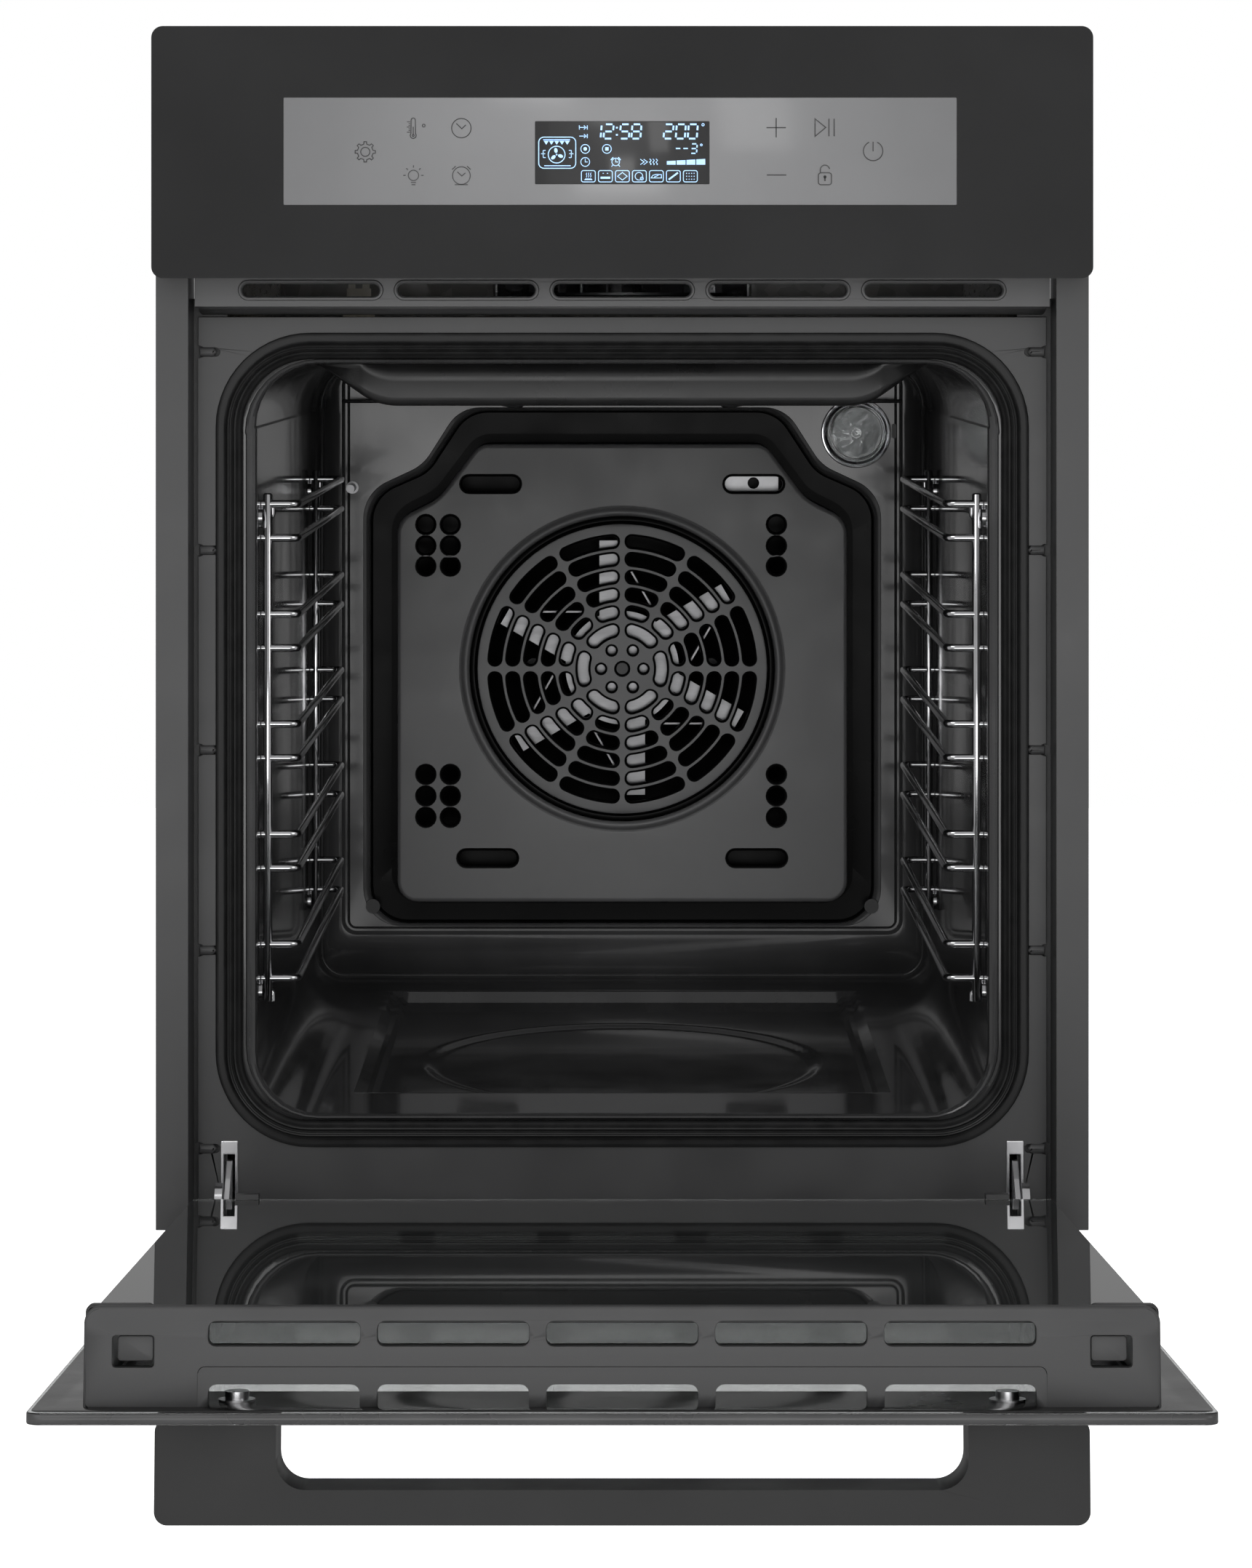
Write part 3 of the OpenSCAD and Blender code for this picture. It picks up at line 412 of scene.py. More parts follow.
class Mesh:
    """Collects points in millimetres and faces, then becomes one object."""

    def __init__(self):
        self.points = []
        self.faces = []

    def add(self, points, faces):
        start = len(self.points)
        self.points += [tuple(p) for p in points]
        self.faces += [tuple(i + start for i in f) for f in faces]

    def loft(self, rings, closed=True, cap_start=False, cap_end=False, flip=False):
        """Joins rings of 3-D points, each with the same number of points."""
        n = len(rings[0])
        faces = []
        for k in range(len(rings) - 1):
            for i in range(n if closed else n - 1):
                j = (i + 1) % n
                quad = (k * n + i, k * n + j, (k + 1) * n + j, (k + 1) * n + i)
                faces.append(quad[::-1] if flip else quad)
        if cap_start:
            faces.append(tuple(range(n)) if flip else tuple(range(n))[::-1])
        if cap_end:
            last = tuple(range((len(rings) - 1) * n, len(rings) * n))
            faces.append(last[::-1] if flip else last)
        self.add([p for r in rings for p in r], faces)

    def solid(self, rings):
        self.loft(rings, cap_start=True, cap_end=True)

    def fill(self, outer, holes, y):
        """A flat face in X and Z with holes, facing the front."""
        curve = bpy.data.curves.new("outline", "CURVE")
        curve.dimensions = "2D"
        curve.fill_mode = "FRONT"
        for loop in [outer, *holes]:
            spline = curve.splines.new("POLY")
            spline.points.add(len(loop) - 1)
            for point, (x, z) in zip(spline.points, loop):
                point.co = (x, z, 0, 1)
            spline.use_cyclic_u = True
        holder = add_object("outline", curve)
        depsgraph = bpy.context.evaluated_depsgraph_get()
        flat = bpy.data.meshes.new_from_object(holder.evaluated_get(depsgraph))
        up = sum(p.normal.z * p.area for p in flat.polygons) > 0
        faces = [tuple(p.vertices) if up else tuple(p.vertices)[::-1] for p in flat.polygons]
        self.add([(v.co.x, y, v.co.y) for v in flat.vertices], faces)
        bpy.data.objects.remove(holder)
        bpy.data.curves.remove(curve)
        bpy.data.meshes.remove(flat)

    def tube(self, path, radius, sides=12, ease=0.0):
        """A round wire along a path of 3-D points; ease rounds its two ends."""
        spots = [Vector(p) for p in path]
        sizes = [radius] * len(spots)
        if ease:
            lead = (spots[1] - spots[0]).normalized() * ease
            tail = (spots[-2] - spots[-1]).normalized() * ease
            spots = [spots[0], spots[0] + lead] + spots[1:-1] + [spots[-1] + tail, spots[-1]]
            sizes = [radius - ease] + [radius] * (len(spots) - 2) + [radius - ease]
        rings = []
        side = None
        for i, spot in enumerate(spots):
            ahead = (spots[min(i + 1, len(spots) - 1)] - spots[max(i - 1, 0)]).normalized()
            if side is None:
                side = ahead.orthogonal().normalized()
            side = (side - ahead * side.dot(ahead)).normalized()
            other = ahead.cross(side)
            rings.append([spot + side * (sizes[i] * cos(a)) + other * (sizes[i] * sin(a))
                          for a in turns(sides)])
        self.solid(rings)

    def piece(self, name, key, replaces=(), angle=35, body="casing", weld=True, place=None):
        """Makes the object, gives it a finish and lets it ride on a body, the casing by default."""
        mesh = bpy.data.meshes.new(name)
        mesh.from_pydata([[c * MM for c in p] for p in self.points], [], self.faces)
        work = bmesh.new()
        work.from_mesh(mesh)
        if weld:
            bmesh.ops.remove_doubles(work, verts=work.verts, dist=2e-6)
        bmesh.ops.dissolve_degenerate(work, edges=work.edges, dist=1e-7)
        work.to_mesh(mesh)
        work.free()
        if place is not None:
            mesh.transform(place)
        mesh.shade_smooth()
        mesh.set_sharp_from_angle(angle=radians(angle))
        obj = add_object(name, mesh)
        dress(obj, key)
        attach(obj, body)
        if replaces:
            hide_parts(*replaces)
        return obj


def even_normals(obj):
    """Keeps big flat faces flat beside their rounded edges."""
    modifier = obj.modifiers.new("normals", "WEIGHTED_NORMAL")
    modifier.keep_sharp = True
    modifier.weight = 80
    return obj


def thicken(obj, thickness, offset=-1.0):
    """Makes a sheet of a surface, by a modifier; the thickness is in millimetres."""
    modifier = obj.modifiers.new("thickness", "SOLIDIFY")
    modifier.thickness = thickness * MM
    modifier.offset = offset
    return obj


def standing(outline, y):
    """An outline in X and Z, as points at one depth."""
    return [(x, y, z) for x, z in outline]


def lying(outline, z):
    """An outline in X and Y, as points at one height."""
    return [(x, y, z) for x, y in outline]


def smooth(t):
    """Eases from 0 to 1."""
    t = min(max(t, 0.0), 1.0)
    return t * t * (3 - 2 * t)


# ---- cavity ----

ENAMEL = 1.2
back = Span("cavity_back")
CAVITY_X = back.x1 - ENAMEL
FLOOR_Z = back.z0 + ENAMEL
CEILING_Z = back.z1 - ENAMEL
BACK_Y = back.y1 - ENAMEL
FRONT_Y = Span("front_frame").y0
CORNER_R = 30
BACK_R = 15
CREASE = 0.45
RECESS_X = 131.5
RECESS_Y = (83, 410)
RECESS_DEPTH = 6.3
PRESS_Y = 211
PRESS_X_R, PRESS_Y_R = 103, 122
PRESS_DEPTH = 1.9


def floor_drop(x, y):
    """How far the floor lies below its flat level: the recess and the oval press in it.

    The recess goes down in two steps at its front and sides, and in one at its rear.
    """
    ramp, ledge = 3, 6.5
    edge = max(abs(x) - RECESS_X, RECESS_Y[0] - y, y - RECESS_Y[1])
    first = smooth(0.5 - edge / ramp)
    second = smooth(0.5 - (edge + ledge) / ramp)
    at_rear = y > RECESS_Y[1] - 12 and abs(x) < RECESS_X - 6
    drop = RECESS_DEPTH * (first if at_rear else 0.5 * first + 0.5 * second)
    inside = 1 - hypot(x / PRESS_X_R, (y - PRESS_Y) / PRESS_Y_R)
    dish = PRESS_DEPTH * smooth((inside + 0.02) / 0.06)
    return drop + dish


def section(y, grow_x, grow_z, r, r_low, with_floor):
    """One ring of the cavity: along the floor, up to the crease below each top corner, and round."""
    half_x = CAVITY_X + grow_x
    z0, z1 = FLOOR_Z - grow_z, CEILING_Z + grow_z
    steps = 110
    ring_points = []
    for i in range(steps):
        x = (half_x - r_low) * (2 * i / steps - 1)
        ring_points.append((x, y, z0 - (floor_drop(x, y) if with_floor else 0)))
    around = arc(half_x - r_low, z0 + r_low, r_low, -90, 0, 8)
    around += [(half_x, z1 - r - 1.2)]
    around += arc(half_x - r, z1 - r, r + CREASE, 0, 90, 8)
    around += arc(-half_x + r, z1 - r, r + CREASE, 90, 180, 8)
    around += [(-half_x, z1 - r - 1.2)]
    around += arc(-half_x + r_low, z0 + r_low, r_low, 180, 270, 8)[:-1]
    return ring_points + standing(around, y)


def cavity_liner():
    """The enamelled tube, from the bead round its mouth to the round that meets the back wall."""
    rings = [section(FRONT_Y + 2.4, 17, 14, CORNER_R + 14, CORNER_R + 14, False)]
    bead = [(5.4, 2.2, 2.3), (5.3, 2.2, -0.4), (4.6, 1.9, -1.7), (3.4, 1.4, -2.2), (2, 0.8, -1.8),
            (0.7, 0.3, -0.6), (0, 0, 1.4)]
    for grow_x, grow_z, lift in bead:
        rings.append(section(FRONT_Y + lift, grow_x, grow_z, CORNER_R + grow_x, CORNER_R + grow_x, False))
    round_in = 3
    start, end = FRONT_Y + 3, BACK_Y - round_in
    tighten_from, tighten_over = 330, 130
    count = 175
    for k in range(count + 1):
        y = start + (end - start) * k / count
        r_low = CORNER_R - (CORNER_R - BACK_R) * smooth((y - tighten_from) / tighten_over)
        rings.append(section(y, 0, 0, CORNER_R, r_low, True))
    for k in (1, 2, 3):
        a = radians(30 * k)
        shrink = round_in * (1 - cos(a))
        y = end + round_in * sin(a)
        rings.append(section(y, -shrink, -shrink, CORNER_R - shrink, BACK_R - shrink, False))
    mesh = Mesh()
    mesh.loft(rings)
    liner = mesh.piece("cavity_liner", "enamel", ["cavity_shell"], angle=20)
    return thicken(liner, ENAMEL)


# ---- back wall and fan cover ----

COVER_Y = Span("fan_cover").y0
COVER_SHAPE = both_sides([(130.5, 99.3, 12), (130.5, 321.5, 14), (106.6, 333.5, 28), (82.8, 365.2, 12)])
GROOVE = both_sides([(147.4, 83.5, 21), (147.4, 333.5, 22), (114.2, 348, 23), (90.9, 383.6, 22)])
GROOVE_RIM = both_sides([(151.7, 81.9, 22), (151.7, 336, 24), (116.8, 352.2, 26), (95.2, 386, 22)])
GROOVE_DEPTH = 9.2
GRILLE_R = 83
GRILLE_RIM_R = 95
FRAME_LINE_X = 161.8
FRAME_LINE_Z = (79.3, 405)


def rear_wall():
    """The back wall, with a pressed frame line and the sunk field round the fan cover."""
    mesh = Mesh()
    margin = 2.8
    wide, tall = 2 * CAVITY_X - 2 * margin, CEILING_Z - FLOOR_Z - 2 * margin
    outer = round_box(wide, tall, CORNER_R - margin, 8, 0, (FLOOR_Z + CEILING_Z) / 2, BACK_R - margin)
    low, high = FRAME_LINE_Z

    def frame_line(out):
        return round_box(2 * (FRAME_LINE_X + out), high - low + 2 * out, 6 + out, 6, 0, (low + high) / 2)

    mesh.fill(outer, [frame_line(2.6)], BACK_Y)
    valley = [(2.6, 0), (2.1, 0.5), (1.5, 2.0), (0.6, 3.1), (-0.6, 3.1), (-1.5, 2.0), (-2.1, 0.4), (-2.4, 0)]
    mesh.loft([standing(frame_line(out), BACK_Y + lift) for out, lift in valley])
    steps = 8
    rim = rounded(GROOVE_RIM, steps)
    mesh.fill(frame_line(-2.4), [rim], BACK_Y)
    rings = [standing(rim, BACK_Y)]
    for share, lift in [(0.06, 0.35), (0.3, 0.6), (0.6, 1.0), (0.82, 1.8), (0.95, 3.0), (1.0, 4.4)]:
        rings.append(standing(rounded(between(GROOVE_RIM, GROOVE, share), steps), BACK_Y + lift))
    mesh.loft(rings)
    groove = Mesh()
    bottom = rounded(grown(GROOVE, -1), steps)
    groove.loft([rings[-1], standing(bottom, BACK_Y + GROOVE_DEPTH)])
    groove.fill(bottom, [ring(0, FAN_Z, 12, 32)], BACK_Y + GROOVE_DEPTH)
    # The sunk field round the fan cover is drawn in near-black enamel: painted shade in the groove.
    thicken(groove.piece("fan_recess", "recess", angle=35), ENAMEL)
    wall = mesh.piece("cavity_rear_wall", "back", ["cavity_back"], angle=35)
    return thicken(even_normals(wall), ENAMEL)


def slot_opening(length, width, corner, cx=0.0, cz=0.0, steps=5):
    """A rounded slot's outline, as a function of how far it is grown."""
    def outline(grow):
        box = round_box(length + 2 * grow, width + 2 * grow, corner + grow, steps)
        return [(x + cx, z + cz) for x, z in box]
    return outline


def round_opening(cx, cz, r, steps):
    return lambda grow: ring(cx, cz, r + grow, steps)


def curved_opening(r, length, turn):
    """A slot that is wrapped round the fan's axis at radius r."""
    straight = slot_opening(length, 6.2, 2.9)

    def outline(grow):
        return [((r + z) * cos(turn - x / r), (r + z) * sin(turn - x / r) + FAN_Z)
                for x, z in dense(straight(grow), 2.5)]
    return outline


def grille_openings():
    """Five rows of curved slots, an inner ring of six, six round holes and one in the middle."""
    openings = []
    for row in range(5):
        r = 33 + 10.25 * row
        for i in range(12):
            openings.append(curved_opening(r, 2 * pi * r / 12 - 5.2, radians(30 * i + 15)))
    openings += [curved_opening(22.8, 18.6, radians(60 * i)) for i in range(6)]
    openings += [round_opening(*spot, 2.4, 16) for spot in ring(0, FAN_Z, 12.3, 6)]
    openings.append(round_opening(0, FAN_Z, 3.4, 20))
    return openings


def cover_openings():
    """The cover's four slots and its groups of round holes."""
    openings = []
    for side in (-1, 1):
        for x, z in ((76.3, 342), (78, 125)):
            openings.append(slot_opening(33.5, 8.6, 4.2, side * x, z))
    for z in (318.5, 306.2, 294.4, 173.6, 161.1, 148.7):
        for x in (-113.9, -99.7, 89.4):
            openings.append(round_opening(x, z, 4.7, 20))
    return openings


def lip(mesh, opening, y, profile):
    """A pressed edge round an opening: profile lists how far out and how far back."""
    mesh.loft([standing(opening(out), y + inward) for out, inward in profile])


PRESSED_EDGE = [(1.35, 0), (0.95, 0.1), (0.5, 0.45), (0.15, 1.1), (0, 1.9), (0, 4.2)]
DRAWN_EDGE = [(1.6, 0), (0.9, 0.1), (0.35, 0.5), (0, 1.4), (0, 4.5)]


def fan_cover():
    """The pressed cover in front of the fan: its lit faces are one piece; its skirt, slot edges and bead
    groove are another, in near-black enamel as painted shade.
    """
    face, shade = Mesh(), Mesh()
    steps = 6
    round_over = 2.5
    rings = [standing(rounded(grown(COVER_SHAPE, 5), steps), BACK_Y + 9),
             standing(rounded(COVER_SHAPE, steps), BACK_Y + 8.6)]
    for k in range(5):
        a = radians(22.5 * k)
        shape = grown(COVER_SHAPE, round_over * cos(a) - round_over)
        rings.append(standing(rounded(shape, steps), COVER_Y + round_over - round_over * sin(a)))
    shade.loft(rings[:4])
    face.loft(rings[3:])
    face_edge = [(x, z) for x, _, z in rings[-1]]
    rim = ring(0, FAN_Z, GRILLE_RIM_R, 96)
    face.fill(face_edge, [opening(DRAWN_EDGE[0][0]) for opening in cover_openings()] + [rim], COVER_Y)
    for opening in cover_openings():
        lip(shade, opening, COVER_Y, DRAWN_EDGE)
    bead = [(GRILLE_RIM_R, 0), (94.3, 0.25), (93.7, 0.7), (93.1, 0.4), (92.4, -0.7), (91.2, -1.3),
            (90, -1.2), (89.1, -0.4), (88.6, 1.2), (88.1, 3.6), (87.3, 4.4), (85.9, 4.4), (85.1, 3.4),
            (84.5, 1.2), (83.9, 0.3), (GRILLE_R, 0)]
    bead_rings = [standing(ring(0, FAN_Z, r, 96), COVER_Y + lift) for r, lift in bead]
    # The bead's deep groove goes with the edges, in near-black enamel: painted shade.
    face.loft(bead_rings[:9])
    shade.loft(bead_rings[8:15])
    face.loft(bead_rings[14:])
    grille = grille_openings()
    face.fill(ring(0, FAN_Z, GRILLE_R, 96), [opening(PRESSED_EDGE[0][0]) for opening in grille], COVER_Y)
    for opening in grille:
        lip(shade, opening, COVER_Y, PRESSED_EDGE)
    # The skirt, slot edges and bead groove get the near-black enamel: painted shade.
    shade.piece("fan_cover_edges_painted_shade", "recess", angle=50)
    cover = face.piece("fan_cover_pressing", "cover", ["fan_cover"], angle=50)
    return even_normals(cover)


def ceiling_bow():
    """The pressing that hangs below the ceiling's front edge in a wide bow."""
    bow = Span("ceiling_deflector")
    top = CEILING_Z - 0.3
    end_x, flat_x, bend = 150, 120.9, 32
    line = rounded([(-end_x, top, 0), (-flat_x, bow.z0, bend), (flat_x, bow.z0, bend), (end_x, top, 0)], 10)
    curl = [(0, 4.4), (0.2, 3.0), (0.8, 1.6), (1.9, 0.5), (3.6, 0), (30, 0), (34, 0.6)]
    rings = [[(x, bow.y0 - 3, top) for x, z in line],
             [(x, bow.y0 - 0.6, min(z + 12, top)) for x, z in line]]
    for depth, up in curl:
        rings.append([(x, bow.y0 + depth, min(z + up, top)) for x, z in line])
    mesh = Mesh()
    mesh.loft(rings, closed=False)
    piece = mesh.piece("ceiling_bow", "bow", ["ceiling_deflector"], angle=50)
    return thicken(piece, ENAMEL, 1.0)


# ---- door seal ----


def door_seal():
    """The rubber seal: a flat lip, three fine ribs and a bulb that falls away to the cavity."""
    seal = Span("door_gasket")
    w, h = seal.x1 - seal.x0, seal.z1 - seal.z0
    mid = (seal.z0 + seal.z1) / 2
    corner = 46
    lip_edge = [(0, 0.3), (-0.2, -0.9), (-0.8, -1.3), (-2, -1.5), (-3.8, -1.4), (-5, -1.7), (-5.5, -3.2)]
    ribs = [(-5.9, -4.4), (-6.3, -4.9), (-6.7, -4.6), (-6.9, -4.5), (-7.3, -5.0), (-7.7, -4.7),
            (-7.9, -4.6), (-8.3, -5.1), (-8.7, -4.6), (-8.9, -4.2)]
    bulb = [(-9.2, -4.7), (-9.6, -5.1), (-10.1, -4.9), (-10.5, -4.1), (-11, -2.9), (-11.8, -1.8),
            (-12.6, -1.1), (-13, 0.6)]
    rings = []
    for inset, lift in lip_edge + ribs + bulb:
        outline = round_box(w + 2 * inset, h + 2 * inset, corner + inset, 14, 0, mid)
        rings.append(standing(outline, FRONT_Y + lift))
    mesh = Mesh()
    mesh.loft(rings)
    return mesh.piece("door_seal", "rubber", ["door_gasket"], angle=60)


# ---- racks and heaters ----


def bent(points, radius, steps=6):
    """A path of 3-D points whose corners are bent to a radius."""
    path = [Vector(points[0])]
    for before, here, after in zip(points, points[1:], points[2:]):
        here = Vector(here)
        one, two = (Vector(before) - here).normalized(), (Vector(after) - here).normalized()
        half = one.angle(two) / 2
        reach = radius / tan(half)
        centre = here + (one + two).normalized() * (radius / sin(half))
        start, end = here + one * reach - centre, here + two * reach - centre
        for k in range(steps + 1):
            mix = start.lerp(end, k / steps).normalized() * radius
            path.append(centre + mix)
    path.append(Vector(points[-1]))
    return path


def rack(name, side):
    """One side rack: two uprights and five pairs of U-shaped guide wires."""
    cad = Span(f"{name}_rack")
    upright_x, guide_x = side * 174.2, side * 159.5
    wall = side * (CAVITY_X - 0.3)
    front, rear = 47.7, 384.0
    lowest, level_pitch, guide_gap = 113.6, 54.1, 16.7
    upright_r, guide_r, hook_r = 2.3, 1.95, 1.6
    mesh = Mesh()
    for y in (front, rear):
        mesh.tube([(upright_x, y, cad.z0), (upright_x, y, cad.z1)], upright_r, 16, 0.7)
        hook_x, hook_y = upright_x - side * 2, y + 3.6
        for z, dip in ((107, -5), (340, 7)):
            hook = [(hook_x, hook_y, z + dip), (hook_x, hook_y, z), (wall, hook_y, z)]
            mesh.tube(bent(hook, 1.9, 4), hook_r, 10)
    for level in range(5):
        for gap in (0, guide_gap):
            z = lowest + level_pitch * level + gap
            guide = [(wall, front, z), (guide_x, front, z), (guide_x, rear, z), (wall, rear, z)]
            mesh.tube(bent(guide, 5), guide_r, 12)
    return mesh.piece(f"{name}_wire_rack", "chrome", [f"{name}_rack"], angle=60, weld=False)


def grill_tube():
    """The grill element's tube, bent to and fro, and the chromed rod that carries its rear."""
    tube_r = 3.2
    z = Span("grill_element").z1 - tube_r
    rear, turn_y = 437, (405, 115)
    half, pitch = 100, 40
    leg_x, leg_y, leg_end, leg_z = 60, rear - 20, BACK_Y + 22, z - 8
    path = [(-leg_x, leg_end, leg_z), (-leg_x, leg_y, leg_z), (-half, leg_y, z)]
    for i in range(6):
        path += [(-half + pitch * i, y, z) for y in (turn_y if i % 2 == 0 else turn_y[::-1])]
    path += [(half, leg_y, z), (leg_x, leg_y, leg_z), (leg_x, leg_end, leg_z)]
    mesh = Mesh()
    mesh.tube(bent(path, 7, 5), tube_r, 12)
    mesh.piece("grill_tube", "heater", ["grill_element"], angle=60, weld=False)
    carrier = Mesh()
    carrier.tube([(-162.6, rear, 390), (162.6, rear, 390)], 1.15, 12, 0.4)
    return carrier.piece("grill_carrier", "chrome", angle=60, weld=False)


# ---- lamp ----


def lathe(mesh, profile, centre, steps=48):
    """Turns (radius, distance forward) round an axis along Y."""
    cx, y, cz = centre
    mesh.loft([[(cx + r * cos(a), y - ahead, cz + r * sin(a)) for a in turns(steps)]
               for r, ahead in profile])


def lamp():
    """The oven lamp: a chromed holder, a pressed glass dome, and a thin dark plate as painted shade for the
    notch that a tool turns it by.
    """
    cad = Span("lamp_lens")
    cx, cz = (cad.x0 + cad.x1) / 2, (cad.z0 + cad.z1) / 2
    rim = Mesh()
    lathe(rim, [(17, -36), (17, -1), (20.2, -0.5), (20.6, 0.2), (20.5, 1.2), (20.0, 2.0), (19.4, 2.1),
                (18.9, 1.6), (18.6, 0.8), (17.2, 0.4), (15.7, -0.2), (13.5, -14), (11, -24), (7.5, -30),
                (0.01, -31)], (cx, BACK_Y, cz))
    rim.piece("lamp_holder", "chrome", ["lamp_housing"], angle=40)
    lens = Mesh()
    rings = []
    size, rows = 18.5, 29
    for k in range(rows + 1):
        r = size * (1 - k / rows)
        dome = 1.2 + 5.6 * (1 - (r / size) ** 2)
        rings.append([])
        for a in turns(72):
            facet = 0.5 * smooth((r - 4) / 4) * smooth((14.5 - r) / 2) * sin(6 * a + 0.22 * r)
            ridge = 0.6 * exp(-((r - 15.8) / 0.6) ** 2) + 0.4 * exp(-((r - 3) / 1.2) ** 2)
            rings[-1].append((cx + max(r, 0.01) * cos(a), BACK_Y - dome - facet - ridge,
                              cz + max(r, 0.01) * sin(a)))
    lens.loft(rings)
    thicken(lens.piece("lamp_lens_glass", "lens", ["lamp_lens"], angle=80), 1.6)
    # The notch is not cut: a thin black plate stands for its shaded hollow, as painted shade.
    notch = Mesh()
    outline = round_box(2.6, 8.6, 1.1, 4, cx + 22.2, cz + 1)
    notch.loft([standing(outline, BACK_Y - 0.05), standing(outline, BACK_Y - 0.5)], cap_end=True)
    notch.piece("lamp_notch_painted_shade", "plastic")


# ---- front: frame, vents, trims ----


def frame_louvres():
    """Small catches punched forward from the front frame beside the seal."""
    mesh = Mesh()
    for side in (-1, 1):
        for z in (34.7, 131, 228.3, 325.3, 421.6):
            rings = []
            for inset, lift in [(0, 0), (0.25, 1.0), (0.9, 1.6), (2.0, 1.8)]:
                outer_x, half = 205.2 - inset * 0.3, 2.3 - inset
                outline = rounded([(outer_x, -half, 0.3), (outer_x, half, 0.3), (198.6, half, 1.0),
                                   (196.4 + inset, 0, 0.8), (198.6, -half, 1.0)], 3)
                rings.append([(side * x, FRONT_Y - lift - 0.02, z + dz) for x, dz in outline])
            mesh.loft(rings, cap_end=True, flip=side > 0)
    return mesh.piece("frame_louvres", "frame", angle=50)


def frame_gap_shade_strips():
    """Dark strips set into the slit between the front frame and each side panel: painted shade for the slit.
    """
    mesh = Mesh()
    low, high = Span("front_frame").z0 + 4, Span("vent_strip").z0 + 4
    strip_x, strip_w = 200.5, 17
    for side in (-1, 1):
        outline = round_box(strip_w, high - low, 1, 2, side * strip_x, (low + high) / 2)
        mesh.solid([standing(outline, FRONT_Y + lift) for lift in (3.4, 4.4)])
    return mesh.piece("frame_gap_shade_strips", "plastic", angle=30)


def vent_lips():
    """The raised, rounded lips of the vent strip's five air slots."""
    vent = Span("vent_strip")
    profile = [(0.9, -0.02), (0.6, -0.5), (0.1, -0.55), (-0.3, -0.1), (-0.4, 1), (-0.4, 7)]
    pitch, slot_z = 75, 451.5
    mesh = Mesh()
    for i in range(-2, 3):
        lip(mesh, slot_opening(67.6, 7.6, 3.8, pitch * i, slot_z, 7), vent.y0, profile)
    return thicken(mesh.piece("vent_slot_lips", "vent", angle=50), 0.4, 1.0)


def vent_fold():
    """The rounded lower return of the vent strip, above the front frame."""
    vent = Span("vent_strip")
    profile = [(0.6, 0.2), (0.8, -0.5), (1.6, -1.2), (3.4, -1.9), (6.5, -2.6), (11, -3.2), (16, -3.6),
               (20, -3.8)]
    mesh = Mesh()
    mesh.loft([[(x, vent.y0 + inward, vent.z0 + up) for inward, up in profile] for x in (-204, 204)],
              closed=False)
    return thicken(mesh.piece("vent_fold", "frame", angle=50), 1.0, -1.0)


# ---- controls ----

PANEL = Span("control_glass")
PRINT_LIFT = 0.12


SEGMENTS = {"0": "abcdef", "1": "bc", "2": "abged", "3": "abgcd", "5": "afgcd", "8": "abcdefg"}
SEGMENT_ENDS = {
    "a": ((0, 1), (1, 1)), "b": ((1, 1), (1, 0.5)), "c": ((1, 0.5), (1, 0)), "d": ((0, 0), (1, 0)),
    "e": ((0, 0), (0, 0.5)), "f": ((0, 0.5), (0, 1)), "g": ((0, 0.5), (1, 0.5)),
}


class Pen(Mesh):
    """Draws flat marks on one layer in front of the control glass."""

    def __init__(self, layer, width, circle_steps):
        super().__init__()
        self.y = PANEL.y0 - layer * PRINT_LIFT
        self.width = width
        self.circle_steps = circle_steps

    def line(self, *path, closed=False, width=None):
        """A line of even width along a path in X and Z."""
        spots = [Vector(p) for p in path]
        count = len(spots)
        left, right = [], []
        for i, spot in enumerate(spots):
            ways = []
            if i or closed:
                ways.append((spot - spots[i - 1]).normalized())
            if i < count - 1 or closed:
                ways.append((spots[(i + 1) % count] - spot).normalized())
            way = sum(ways, Vector((0, 0))).normalized()
            normal = Vector((-way.y, way.x))
            reach = (width or self.width) / 2 / max(0.4, normal.dot(Vector((-ways[0].y, ways[0].x))))
            left.append(spot + normal * reach)
            right.append(spot - normal * reach)
        self.loft([[(p.x, self.y, p.y) for p in right], [(p.x, self.y, p.y) for p in left]], closed=closed)

    def circle(self, cx, cz, r, width=None):
        self.line(*ring(cx, cz, r, self.circle_steps), closed=True, width=width)

    def patch(self, *corners):
        self.add([(x, self.y, z) for x, z in corners], [tuple(range(len(corners)))])

    def block(self, x0, z0, x1, z1):
        self.patch((x0, z0), (x1, z0), (x1, z1), (x0, z1))

    def digit(self, figure, x, z, w, h, thick):
        """A seven-segment figure whose lower left corner is at x, z."""
        lean = 0.08
        for name in SEGMENTS[figure]:
            (x0, z0), (x1, z1) = SEGMENT_ENDS[name]
            a = Vector((x + x0 * w + z0 * h * lean, z + z0 * h))
            b = Vector((x + x1 * w + z1 * h * lean, z + z1 * h))
            gap = (b - a).normalized() * thick * 0.72
            self.line(a + gap, b - gap, width=thick)


def gear_mark(pen):
    cx, cz = -122.2, 517.1
    teeth = []
    for i in range(8):
        for off, r in ((-11, 3.75), (-7, 4.85), (7, 4.85), (11, 3.75)):
            teeth.append(polar(cx, cz, r, 45 * i + off))
    pen.line(*teeth, closed=True)
    pen.circle(cx, cz, 2.15)


def thermometer_mark(pen):
    cx = -99.4
    tube = arc(cx, 532.2, 1.0, 0, 180, 8) + arc(cx, 524.9, 1.4, 140, 400, 14)
    pen.line(*tube, closed=True)
    pen.line((cx, 529), (cx, 525.4))
    pen.circle(cx, 524.9, 0.45)
    for i in range(7):
        long = 1.5 if i % 3 == 0 else 0.7
        pen.line((-100.9, 531.4 - 0.83 * i), (-100.9 - long, 531.4 - 0.83 * i), width=0.32)
    pen.circle(-94.4, 529.6, 0.65)


